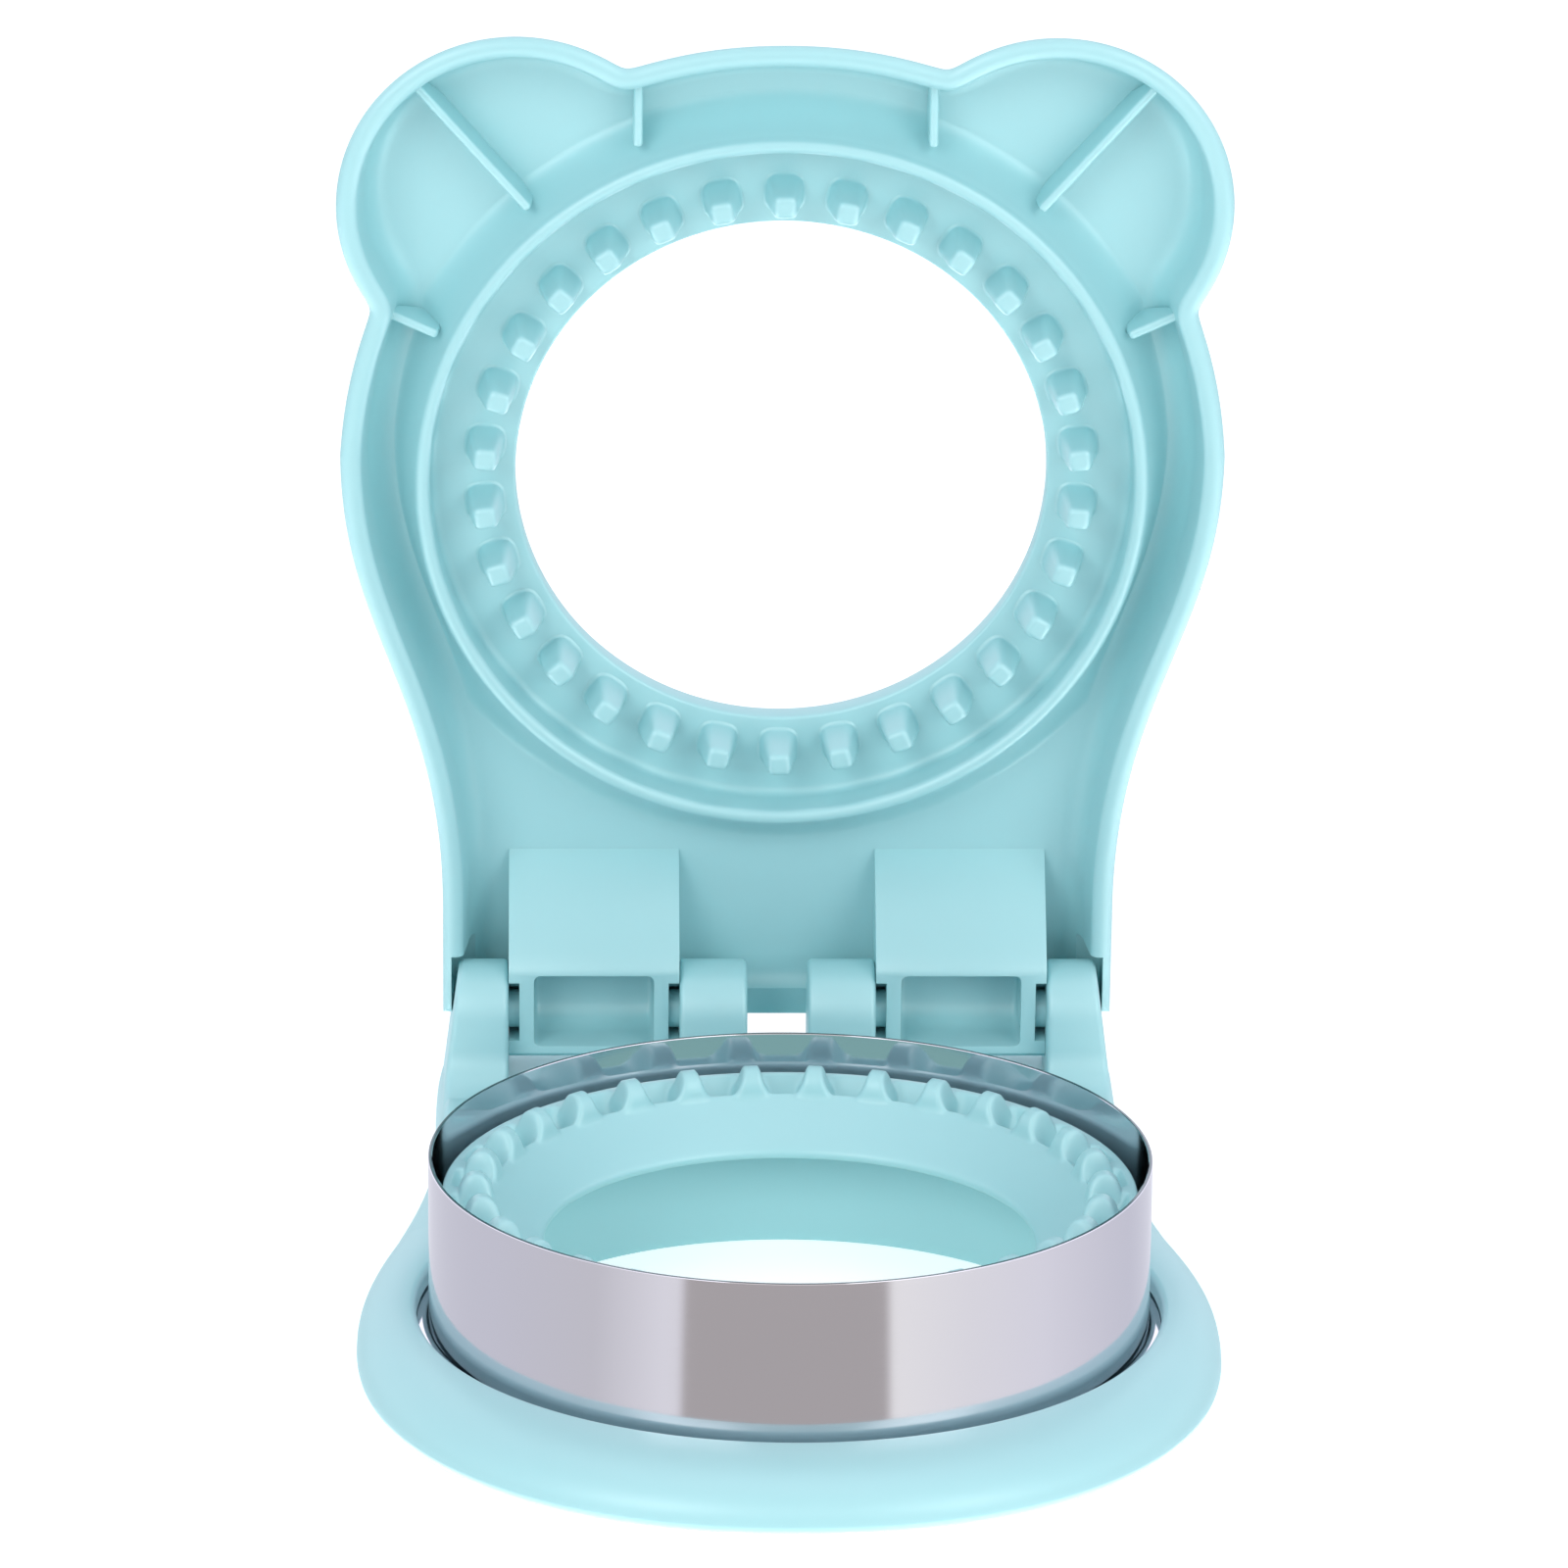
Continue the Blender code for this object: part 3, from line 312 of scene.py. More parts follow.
# Colours, as sRGB
PLASTIC_COLOUR = "A0D3D7"
PLASTIC_DEEP_COLOUR = "97CED3"
STEEL_COLOUR = "C9C7CE"
# Colour of the weld seam, also painted on the top edge as shade
STEEL_WELD_AND_EDGE_SHADE_COLOUR = "5B6468"
FLOOR_COLOUR = "E6E6E6"
PANE_COLOUR = "9ACECA"
ROOM_COLOUR = "F0EFFA"
WHITE = (1.0, 1.0, 1.0, 1.0)

# Stage: floor, pane under the opening, and the reflections' colour at each share of a turn.
# Some colours pass 1, so the ramp holds a share of them and the strength makes up for it.
FLOOR_REACH = 4.0
PANE_REACH = 0.04
PANE_HEIGHT = 0.0002
ROOM_STRENGTH = 0.62
MIRROR_STOPS = (
    (0.05, (0.85, 0.86, 0.95)), (0.2, (0.88, 0.89, 0.97)), (0.32, (0.87, 0.87, 0.91)),
    (0.385, (1.12, 1.12, 1.16)), (0.4, (1.12, 1.12, 1.15)), (0.407, (0.63, 0.60, 0.585)),
    (0.58, (0.63, 0.60, 0.585)), (0.587, (1.26, 1.26, 1.23)), (0.66, (1.16, 1.16, 1.18)),
    (0.736, (1.1, 1.1, 1.17)), (0.875, (0.84, 0.85, 0.95)))
MIRROR_SHARE = 0.5
MIRROR_LEVEL = 2.0
MIRROR_TOP = 3.8
MIRROR_BELOW = 8.0

# Camera, as fitted to the photograph
CAMERA_PITCH = math.radians(18.14)
CAMERA_YAW = 0.026
CAMERA_ROLL = 0.009
CAMERA_DISTANCE = 1.2
CAMERA_AIM = (0.0, RING_Y, 0.02)
CAMERA_SENSOR = 36.0
CAMERA_REACH = 20.0
PHOTO_WIDTH = 1600.0
PIXELS_PER_METRE = 8197.0
PIXELS_LEFT = 9.93
PIXELS_UP = 428.8


# Materials

def linear(text):
    """Linear colour of a six-digit sRGB hex text."""
    values = [int(text[i:i + 2], 16) / 255 for i in (0, 2, 4)]
    return [v / 12.92 if v <= 0.04045 else ((v + 0.055) / 1.055) ** 2.4 for v in values] + [1.0]


def set_values(node, **values):
    """Set a shader node; names with in_ set an input, others set a property."""
    for name, value in values.items():
        if name.startswith("in_"):
            node.inputs[name[3:].replace("_", " ")].default_value = value
        else:
            setattr(node, name, value)
    return node


def add_node(tree, kind, **values):
    """Add a shader node and set it."""
    return set_values(tree.nodes.new(kind), **values)


def link(tree, *joins):
    """Join nodes; each join gives a node, its output, a node and its input."""
    for source, output, target, entry in joins:
        tree.links.new(source.outputs[output], target.inputs[entry])


def new_look(name):
    """A new material, its node tree and its shader."""
    made = bpy.data.materials.new(name)
    made.use_nodes = True
    return made, made.node_tree, made.node_tree.nodes["Principled BSDF"]


def satin_plastic(name, colour, deep):
    """Satin moulded plastic: a little translucent, faintly cloudy, with a fine mould texture."""
    made, tree, shader = new_look(name)
    set_values(shader, in_Roughness=0.42, in_Specular_IOR_Level=0.9, in_IOR=1.49,
               in_Subsurface_Weight=0.12, in_Subsurface_Radius=(0.6, 1.0, 1.0),
               in_Subsurface_Scale=0.002)
    place = add_node(tree, "ShaderNodeTexCoord")
    cloud = add_node(tree, "ShaderNodeTexNoise", in_Scale=35.0, in_Detail=2.0)
    fade = add_node(tree, "ShaderNodeMapRange", in_From_Min=0.35, in_From_Max=0.75, in_To_Max=0.25)
    mix = add_node(tree, "ShaderNodeMix", data_type="RGBA", in_A=linear(colour), in_B=linear(deep))
    grain = add_node(tree, "ShaderNodeTexNoise", in_Scale=2600.0, in_Detail=1.0)
    bump = add_node(tree, "ShaderNodeBump", in_Strength=0.05, in_Distance=0.0001)
    link(tree,
         (place, "Object", cloud, "Vector"),
         (cloud, "Fac", fade, "Value"),
         (fade, "Result", mix, "Factor"),
         (mix, "Result", shader, "Base Color"),
         (place, "Object", grain, "Vector"),
         (grain, "Fac", bump, "Height"),
         (bump, "Normal", shader, "Normal"))
    return made


def polished_steel(name):
    """Polished stainless steel: a faint grain round the band, a dark weld seam, and painted shade
    on the top edge, where a darker base colour stands in for the dark reflection along the rim.
    """
    made, tree, shader = new_look(name)
    set_values(shader, in_Metallic=1.0)
    place = add_node(tree, "ShaderNodeTexCoord")
    stretch = add_node(tree, "ShaderNodeMapping", in_Scale=(20.0, 20.0, 2500.0))
    grain = add_node(tree, "ShaderNodeTexNoise", in_Scale=1.0, in_Detail=3.0)
    rough = add_node(tree, "ShaderNodeMapRange", in_To_Min=0.05, in_To_Max=0.12)
    bump = add_node(tree, "ShaderNodeBump", in_Strength=0.02, in_Distance=0.0001)
    axes = add_node(tree, "ShaderNodeSeparateXYZ")
    weld = add_node(tree, "ShaderNodeMath", operation="COMPARE")
    weld.inputs[1].default_value = WELD_PLACE
    weld.inputs[2].default_value = WELD_HALF_WIDTH
    behind = add_node(tree, "ShaderNodeMath", operation="GREATER_THAN")
    both = add_node(tree, "ShaderNodeMath", operation="MULTIPLY")
    # Painted shade: the top edge's base colour is darkened, standing in for the dark reflection
    # along the rim
    edge = add_node(tree, "ShaderNodeMath", operation="GREATER_THAN")
    edge.inputs[1].default_value = RING_TOP - EDGE_SHADE_BAND
    weld_and_edge_shade = add_node(tree, "ShaderNodeMath", operation="MAXIMUM")
    tint = add_node(tree, "ShaderNodeMix", data_type="RGBA",
                    in_A=linear(STEEL_COLOUR), in_B=linear(STEEL_WELD_AND_EDGE_SHADE_COLOUR))
    link(tree,
         (place, "Object", stretch, "Vector"),
         (stretch, "Vector", grain, "Vector"),
         (grain, "Fac", rough, "Value"),
         (rough, "Result", shader, "Roughness"),
         (grain, "Fac", bump, "Height"),
         (bump, "Normal", shader, "Normal"),
         (place, "Object", axes, "Vector"),
         (axes, "X", weld, 0),
         (axes, "Y", behind, 0),
         (weld, "Value", both, 0),
         (behind, "Value", both, 1),
         (axes, "Z", edge, 0),
         (both, "Value", weld_and_edge_shade, 0),
         (edge, "Value", weld_and_edge_shade, 1),
         (weld_and_edge_shade, "Value", tint, "Factor"),
         (tint, "Result", shader, "Base Color"))
    return made


def plain_surface(name, colour, roughness, lift):
    """A matt surface for the floor, lifted a little, with a very faint unevenness."""
    made, tree, shader = new_look(name)
    set_values(shader, in_Roughness=roughness, in_Emission_Color=WHITE, in_Emission_Strength=lift)
    place = add_node(tree, "ShaderNodeTexCoord")
    noise = add_node(tree, "ShaderNodeTexNoise", in_Scale=6.0)
    mix = add_node(tree, "ShaderNodeMix", data_type="RGBA", in_Factor=0.02, in_A=linear(colour))
    link(tree,
         (place, "Object", noise, "Vector"),
         (noise, "Color", mix, "B"),
         (mix, "Result", shader, "Base Color"))
    return made


def glow(name, colour, strength):
    """An even light-giving card."""
    made, tree, shader = new_look(name)
    tree.nodes.remove(shader)
    lamp = add_node(tree, "ShaderNodeEmission", in_Strength=strength, in_Color=linear(colour))
    link(tree, (lamp, "Emission", tree.nodes["Material Output"], "Surface"))
    return made


AQUA = satin_plastic("satin_aqua_plastic", PLASTIC_COLOUR, PLASTIC_DEEP_COLOUR)
STEEL = polished_steel("polished_stainless_steel")


# Shape helpers

def to_frame(points):
    """Move points from the ring's axis to the frame."""
    moved = np.array(points, dtype=float)
    moved[..., 1] += RING_Y
    return moved


def opened(points):
    """Swing points of the closed lid up to the photographed pose."""
    turn = LEAN - 0.5 * math.pi
    moved = to_frame(points)
    y = moved[..., 1] - HINGE.y
    z = moved[..., 2] - HINGE.z
    moved[..., 1] = HINGE.y + y * math.cos(turn) - z * math.sin(turn)
    moved[..., 2] = HINGE.z + y * math.sin(turn) + z * math.cos(turn)
    return moved


def outward(mesh, merge=False, mirror=False):
    """Turn every face outward, after merging points that coincide or mirroring the mesh."""
    bm = bmesh.new()
    bm.from_mesh(mesh)
    if merge:
        bmesh.ops.remove_doubles(bm, verts=bm.verts, dist=MERGE_DISTANCE)
    if mirror:
        bmesh.ops.scale(bm, vec=(-1.0, 1.0, 1.0), verts=bm.verts)
    bmesh.ops.recalc_face_normals(bm, faces=bm.faces)
    bm.to_mesh(mesh)
    bm.free()


def finish_mesh(obj, look, smooth_angle=35.0):
    """Outward normals, smooth rounded faces and the finish."""
    outward(obj.data, merge=True)
    obj.data.materials.clear()
    obj.data.materials.append(look)
    obj.data.shade_smooth()
    obj.data.set_sharp_from_angle(angle=math.radians(smooth_angle))
    return obj


def add_object(name, mesh):
    """Link a mesh as an object at the frame's origin."""
    made = bpy.data.objects.new(name, mesh)
    bpy.context.collection.objects.link(made)
    return made


def add_mesh(name, points, faces):
    """Link a new mesh of points and faces as an object."""
    mesh = bpy.data.meshes.new(name)
    mesh.from_pydata(points, [], faces)
    mesh.update()
    return add_object(name, mesh)


def skin(name, rows):
    """Closed surface from a chain of closed loops; the last loop joins the first."""
    rows = np.asarray(rows)
    count, width = rows.shape[:2]
    index = np.arange(count * width).reshape(count, width)
    across = np.roll(index, -1, axis=1)
    down = np.roll(index, -1, axis=0)
    both = np.roll(across, -1, axis=0)
    faces = np.stack([index, across, both, down], axis=-1).reshape(-1, 4)
    return add_mesh(name, rows.reshape(-1, 3).tolist(), faces.tolist())


def full_turn(count):
    """Evenly spaced angles of a full turn from the front."""
    return np.arange(count) * 2.0 * math.pi / count


def ring_of(angles, radius, height):
    """Loop of points at the given angles; radius and height may vary with the angle."""
    radius = np.broadcast_to(radius, angles.shape)
    height = np.broadcast_to(height, angles.shape)
    return np.stack([radius * np.sin(angles), -radius * np.cos(angles), height], axis=-1)


def prism_faces(count):
    """Faces of a body between two loops of points: both ends, then the sides."""
    faces = [list(range(count)), list(range(2 * count - 1, count - 1, -1))]
    for i in range(count):
        j = (i + 1) % count
        faces.append([i, i + count, j + count, j])
    return faces


def prism(name, profile, low, high, place):
    """Extrude a (y, z) profile across X; an end may be a place or a function of height."""
    def across(end, z):
        return end(z) if callable(end) else end
    near = [(across(low, z), y, z) for y, z in profile]
    far = [(across(high, z), y, z) for y, z in profile]
    made = add_mesh(name, place(np.array(near + far)).tolist(), prism_faces(len(profile)))
    outward(made.data)
    return made


def baked(obj):
    """Replace an object's mesh by what its modifiers make of it."""
    shaped = obj.evaluated_get(bpy.context.evaluated_depsgraph_get())
    result = bpy.data.meshes.new_from_object(shaped)
    obj.modifiers.clear()
    obj.data = result
    return obj


def cut(target, tools):
    """Cut tools out of a body."""
    for tool in tools:
        step = target.modifiers.new("shape", "BOOLEAN")
        step.operation = "DIFFERENCE"
        step.solver = "EXACT"
        step.object = tool
        baked(target)
        bpy.data.objects.remove(tool, do_unlink=True)


def rounded(obj, width, segments=3, angle=40.0):
    """Round the edges of a body."""
    step = obj.modifiers.new("round", "BEVEL")
    step.width = width
    step.segments = segments
    step.limit_method = "ANGLE"
    step.angle_limit = math.radians(angle)
    step.harden_normals = False
    return baked(obj)


def side_twin(obj, name):
    """A copy on the other side of the middle plane."""
    mesh = obj.data.copy()
    outward(mesh, mirror=True)
    return add_object(name, mesh)


# Outlines, as distance from the ring's axis at each angle from the front

def superellipse(angle, across, along, power):
    """Distance to a squared-off oval."""
    side = (np.abs(np.sin(angle)) / across) ** power
    front = (np.abs(np.cos(angle)) / along) ** power
    return (side + front) ** (-1.0 / power)


def head_radius(angle):
    """Head and ear together, with a soft notch where they meet."""
    head = superellipse(angle, HEAD_HALF_WIDTH, HEAD_FRONT, HEAD_POWER)
    off = angle - EAR_ANGLE
    reach = np.maximum(EAR_RADIUS ** 2 - (EAR_DISTANCE * np.sin(off)) ** 2, 0.0)
    ear = EAR_DISTANCE * np.cos(off) + np.sqrt(reach)
    return 0.5 * (head + ear + np.hypot(head - ear, EAR_BLEND))


def corner_and_back(half_width, back, corner):
    """Quarter circle, then the back edge to the middle."""
    turn = np.linspace(0.0, 0.5 * math.pi, CORNER_SAMPLES)
    xs = np.concatenate([half_width - corner + corner * np.cos(turn),
                         np.linspace(half_width - corner, 0.0, BACK_SAMPLES)])
    ys = np.concatenate([back - corner + corner * np.sin(turn), np.full(BACK_SAMPLES, back)])
    return xs, ys


def lid_half():
    """Right half of the lid's outline, densely sampled."""
    sweep = np.linspace(0.0, math.atan2(HEAD_HALF_WIDTH, NECK_START), HEAD_SAMPLES)
    radius = head_radius(sweep)
    start = np.array([radius[-1] * math.sin(sweep[-1]), -radius[-1] * math.cos(sweep[-1])])
    end = np.array([NECK_HALF_WIDTH, NECK_END])
    pull_front = start + np.array([0.0, NECK_PULL_FRONT])
    pull_back = end - np.array([0.0, NECK_PULL_BACK])
    t = np.linspace(0.0, 1.0, NECK_SAMPLES)[:, None]
    s = 1.0 - t
    neck = start * s ** 3 + pull_front * 3 * s * s * t + pull_back * 3 * s * t * t + end * t ** 3
    cheek_y = np.linspace(NECK_END, CHIN_BACK - CHIN_CORNER, CHEEK_SAMPLES)
    cheek_x = np.full(CHEEK_SAMPLES, NECK_HALF_WIDTH)
    corner_x, corner_y = corner_and_back(NECK_HALF_WIDTH, CHIN_BACK, CHIN_CORNER)
    xs = np.concatenate([radius * np.sin(sweep), neck[:, 0], cheek_x, corner_x])
    ys = np.concatenate([-radius * np.cos(sweep), neck[:, 1], cheek_y, corner_y])
    return xs, ys


def base_half():
    """Right half of the base's outline, densely sampled."""
    sweep = np.linspace(0.0, 0.5 * math.pi, FRONT_SAMPLES)
    radius = superellipse(sweep, BASE_HALF_WIDTH, BASE_FRONT, BASE_POWER)
    t = np.linspace(0.0, 1.0, FLANK_SAMPLES)
    spread = 0.5 * (1.0 + np.cos(math.pi * np.minimum(t / BASE_NECK_SHARE, 1.0)))
    side_x = BASE_NECK + (BASE_HALF_WIDTH - BASE_NECK) * spread
    side_y = (BASE_BACK - BASE_CORNER) * t
    corner_x, corner_y = corner_and_back(BASE_NECK, BASE_BACK, BASE_CORNER)
    xs = np.concatenate([radius * np.sin(sweep), side_x, corner_x])
    ys = np.concatenate([-radius * np.cos(sweep), side_y, corner_y])
    return xs, ys


class Outline:
    """An outline seen from the ring's axis, with true inward offsets at fixed angles."""

    def __init__(self, half, angles, trim):
        xs, ys = half
        self.trim = trim
        bearing = np.arctan2(xs, -ys)
        reach = np.hypot(xs, ys)
        order = np.argsort(bearing)
        bearing, reach = bearing[order], reach[order]
        self.angles = angles
        folded = np.abs((angles + math.pi) % (2.0 * math.pi) - math.pi)
        self.edge = np.interp(folded, bearing, reach)
        dense = np.linspace(0.0, math.pi, BEARING_SAMPLES)
        radius = np.interp(dense, bearing, reach)
        self.all_bearing = np.concatenate([dense, -dense])
        self.all_reach = np.concatenate([radius, radius])

    def inset(self, depth):
        """Radius at each angle, the given depth inside the edge."""
        depth = depth + self.trim
        if depth < LEAST_INSET:
            least = self.inset(LEAST_INSET - self.trim)
            return self.edge + (least - self.edge) * depth / LEAST_INSET
        turn = self.angles[:, None] - self.all_bearing[None, :]
        side = self.all_reach * np.sin(turn)
        usable = (np.abs(side) < depth) & (np.cos(turn) > 0.0)
        root = np.sqrt(np.maximum(depth ** 2 - side ** 2, 0.0))
        near = np.where(usable, self.all_reach * np.cos(turn) - root, np.inf)
        return near.min(axis=1)


def smooth(share):
    """Ease from 0 to 1."""
    share = np.clip(share, 0.0, 1.0)
    return share * share * (3.0 - 2.0 * share)


def eased(y, length, end):
    """0 before a stretch that ends at a place, 1 behind it, with soft ends."""
    return smooth((y - end + length) / length)


def bearings(degrees):
    """Angles in radians."""
    return [math.radians(turn) for turn in degrees]


# Steel ring

def make_cutter_ring():
    """Thin band with a chamfered top edge, turned outward at the foot; the edge's darker colour is
    painted shade, set in the steel's material.
    """
    inner = RING_RADIUS - RING_WALL
    hem = RING_RADIUS + RING_HEM
    foot_top = DECK_HEIGHT - DECK_WALL - RING_SEAT_GAP
    foot_low = foot_top - RING_WALL
    profile = [(inner, RING_TOP - RING_EDGE), (inner + RING_EDGE, RING_TOP)]
    profile += [(RING_RADIUS - RING_EDGE, RING_TOP), (RING_RADIUS, RING_TOP - RING_EDGE)]
    for i in range(BEND_STEPS + 1):
        turn = 0.5 * math.pi * i / BEND_STEPS
        profile.append((RING_RADIUS + RING_BEND - RING_BEND * math.cos(turn),
                        foot_top + RING_BEND - RING_BEND * math.sin(turn)))
    profile += [(hem, foot_top), (hem, foot_low)]
    reach = RING_BEND + RING_WALL
    for i in range(BEND_STEPS + 1):
        turn = 0.5 * math.pi * (BEND_STEPS - i) / BEND_STEPS
        profile.append((inner + reach - reach * math.cos(turn),
                        foot_low + reach - reach * math.sin(turn)))
    angles = full_turn(RING_STEPS)
    rows = [ring_of(angles, radius, height) for radius, height in profile]
    made = finish_mesh(skin("steel_ring", to_frame(rows)), STEEL)
    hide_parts("cutter_ring")
    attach(made, "base")


# Lower sealing ring

def cone_height(radius):
    """Height of the plain cone, in mm."""
    return CONE_HEIGHT - CONE_SLOPE * (CONE_RADIUS - radius)


def make_sealing_ring():
    """Cone with thirty round-backed teeth and bowl-shaped pockets, on a sleeve."""
    shares = np.array([-s for s in reversed(TOOTH_SHARES[1:-1])] + list(TOOTH_SHARES))
    pitch = 2.0 * math.pi / TOOTH_COUNT
    teeth = np.arange(TOOTH_COUNT)[:, None]
    angles = ((teeth + 0.5 + shares[None, :]) * pitch).ravel()
    flank = smooth((np.abs(shares) - TOOTH_FLAT_SHARE) / TOOTH_FLANK_SHARE)
    bump = np.tile((1.0 - flank) ** TOOTH_FLANK_POWER, TOOTH_COUNT)
    rows = [ring_of(angles, radius * MM, height * MM) for radius, height in SLEEVE_LOOPS]
    for radius in TOOTHED_RADII:
        cone = cone_height(radius)
        edge = 0.5 * (cone + LIP_HEIGHT - math.hypot(cone - LIP_HEIGHT, LIP_BLEND))
        across = min(max((radius - BOWL_CENTRE) / BOWL_HALF_LENGTH, -1.0), 1.0)
        bowl = edge - BOWL_DEPTH * (1.0 - across ** 2) ** BOWL_POWER
        reach = abs(radius - ARCH_CENTRE) / ARCH_HALF_LENGTH
        arch = (CONE_HEIGHT + ARCH_RISE * max(1.0 - reach ** ARCH_POWER, 0.0) ** 0.5
                - ARCH_FALL * max(reach - 1.0, 0.0))
        tooth = 0.5 * (edge + arch + math.hypot(edge - arch, TOOTH_BLEND)) - TOOTH_SINK
        rows.append(ring_of(angles, radius * MM, (bowl + (tooth - bowl) * bump) * MM))
    for radius in CONE_RADII:
        rows.append(ring_of(angles, radius * MM, cone_height(radius) * MM))
    for radius, height in CONE_FOOT_LOOPS:
        rows.append(ring_of(angles, radius * MM, height * MM))
    made = finish_mesh(skin("sealing_ring", to_frame(rows)), AQUA, smooth_angle=50.0)
    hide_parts("lower_crimp_ring")
    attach(made, "base")


# Base

def make_base():
    """Deck, dome, foot and hollow in one loft."""
    angles = full_turn(BASE_STEPS)
    outline = Outline(base_half(), angles, BASE_TRIM)
    reach = outline.inset(0.0)
    slim = eased(-reach * np.cos(angles), DOME_BLEND, RAISE_END)
    width = np.minimum(reach - CROWN_RADIUS, DOME_WIDTH + (DOME_BACK_WIDTH - DOME_WIDTH) * slim)

    def on_dome(radius, depth=0.0):
        left = np.clip(1.0 - (reach - radius) / width, 0.0, 1.0)
        raised = eased(-radius * np.cos(angles), RAISE_LENGTH, RAISE_END)
        top = DECK_HEIGHT + RAISED_DECK * raised
        height = FOOT_HEIGHT + (top - FOOT_HEIGHT) * np.sqrt(1.0 - left ** 2) - depth
        return ring_of(angles, radius, height)

    under = DECK_HEIGHT - DECK_WALL
    rows = [ring_of(angles, DECK_HOLE, under),
            ring_of(angles, DECK_HOLE, DECK_HEIGHT - DECK_HOLE_ROUND)]
    for bearing in bearings(DECK_EDGE_DEGREES):
        rows.append(ring_of(angles, DECK_HOLE + DECK_HOLE_ROUND * (1.0 - math.cos(bearing)),
                            DECK_HEIGHT - DECK_HOLE_ROUND * (1.0 - math.sin(bearing))))
    rows.append(ring_of(angles, DECK_HOLE + DECK_HOLE_ROUND, DECK_HEIGHT))
    start = reach - width
    for share in np.arange(DECK_STEPS) / DECK_STEPS:
        rows.append(on_dome(CROWN_RADIUS + (start - CROWN_RADIUS) * share))
    for share in DOME_SHARES:
        rows.append(on_dome(reach - width * share * DOME_OVERLAP))
    for depth, height in FOOT_LOOPS:
        rows.append(ring_of(angles, outline.inset(depth * MM), height * MM))
    ceiling = outline.inset(BASE_CEILING_INSET)
    rows.append(on_dome(outline.inset(BASE_WALL), DECK_WALL))
    rows.append(on_dome(ceiling, DECK_WALL))
    for share in HOLLOW_SHARES:
        rows.append(on_dome(COLLAR_RADIUS + (ceiling - COLLAR_RADIUS) * share, DECK_WALL))
    collar_inner = COLLAR_RADIUS - COLLAR_WALL
    collar_low = under - COLLAR_DROP
    rows.append(ring_of(angles, COLLAR_RADIUS, under))
    rows.append(ring_of(angles, COLLAR_RADIUS, collar_low))
    rows.append(ring_of(angles, collar_inner, collar_low))
    rows.append(ring_of(angles, collar_inner, under))
    made = finish_mesh(skin("base_body", to_frame(rows)), AQUA)
    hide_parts("base_shell")
    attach(made, "base")


def on_hinge(radius, turn):
    """Point on a circle round the hinge axis, seen from the side."""
    return HINGE_BACK + radius * math.cos(turn), HINGE_HEIGHT + radius * math.sin(turn)


def arm_profile():
    """Side view of an arm: stem with a round head on the hinge axis, swept out to the deck."""
    front = HINGE_BACK - ARM_RADIUS
    points = [(HINGE_BACK + ARM_RADIUS, ARM_ROOT)]
    points += [on_hinge(ARM_RADIUS, math.pi * i / ARM_STEPS) for i in range(ARM_STEPS + 1)]
    deck = DECK_HEIGHT + RAISED_DECK - ARM_SWEEP_SINK
    for i in range(ARM_SWEEP_STEPS + 1):
        turn = 0.5 * math.pi * i / ARM_SWEEP_STEPS
        points.append((front - ARM_SWEEP_LENGTH * (1.0 - math.cos(turn)),
                       deck + ARM_SWEEP_HEIGHT * (1.0 - math.sin(turn))))
    root = deck - ARM_SWEEP_ROOT
    points += [(points[-1][0], root), (front, root), (front, ARM_ROOT)]
    return points


def arm_outer(height):
    """Outer face of an arm, leaning in as it rises."""
    rise = HINGE_HEIGHT + ARM_RADIUS - ARM_ROOT
    return ARM_FOOT_OUTER + (ARM_TOP_OUTER - ARM_FOOT_OUTER) * (height - ARM_ROOT) / rise


def circle_profile(radius):
    """Circle on the hinge axis, seen from the side."""
    return [on_hinge(radius, 2.0 * math.pi * i / PIN_STEPS) for i in range(PIN_STEPS)]


def make_hinge_stands():
    """Arms, posts and stub pins, on both sides."""
    arm = prism("arm", arm_profile(), ARM_INNER, arm_outer, to_frame)
    post = prism("post", arm_profile(), POST_INNER, POST_OUTER, to_frame)
    arm_pin = prism("arm_pin", circle_profile(PIN_RADIUS), ARM_INNER - PIN_REACH,
                    ARM_INNER + OVERRUN, to_frame)
    post_pin = prism("post_pin", circle_profile(PIN_RADIUS), POST_OUTER - OVERRUN,
                     POST_OUTER + PIN_REACH, to_frame)
    stands = [rounded(arm, ARM_ROUND, segments=4), rounded(post, POST_ROUND, segments=4),
              rounded(arm_pin, PIN_ROUND), rounded(post_pin, PIN_ROUND)]
    for stand in stands:
        for piece in (stand, side_twin(stand, stand.name + "_left")):
            finish_mesh(piece, AQUA, smooth_angle=30.0)
            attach(piece, "base")


# Lid

def lid_skin(outline, share):
    """Radius of the lid's skin at a share of its height: domed over the head, full at the neck."""
    late = max(share - NECK_SHOULDER_SHARE, 0.0) / (1.0 - NECK_SHOULDER_SHARE)
    head = LID_DOME_WIDTH * (1.0 - math.sqrt(1.0 - share ** LID_DOME_POWER))
    neck = NECK_SHOULDER * (1.0 - math.sqrt(1.0 - late ** 2)) + NECK_DRAFT * share
    back = eased(-outline.edge * np.cos(outline.angles), NECK_BLEND, NECK_END)
    return outline.inset(head) * (1.0 - back) + outline.inset(neck) * back


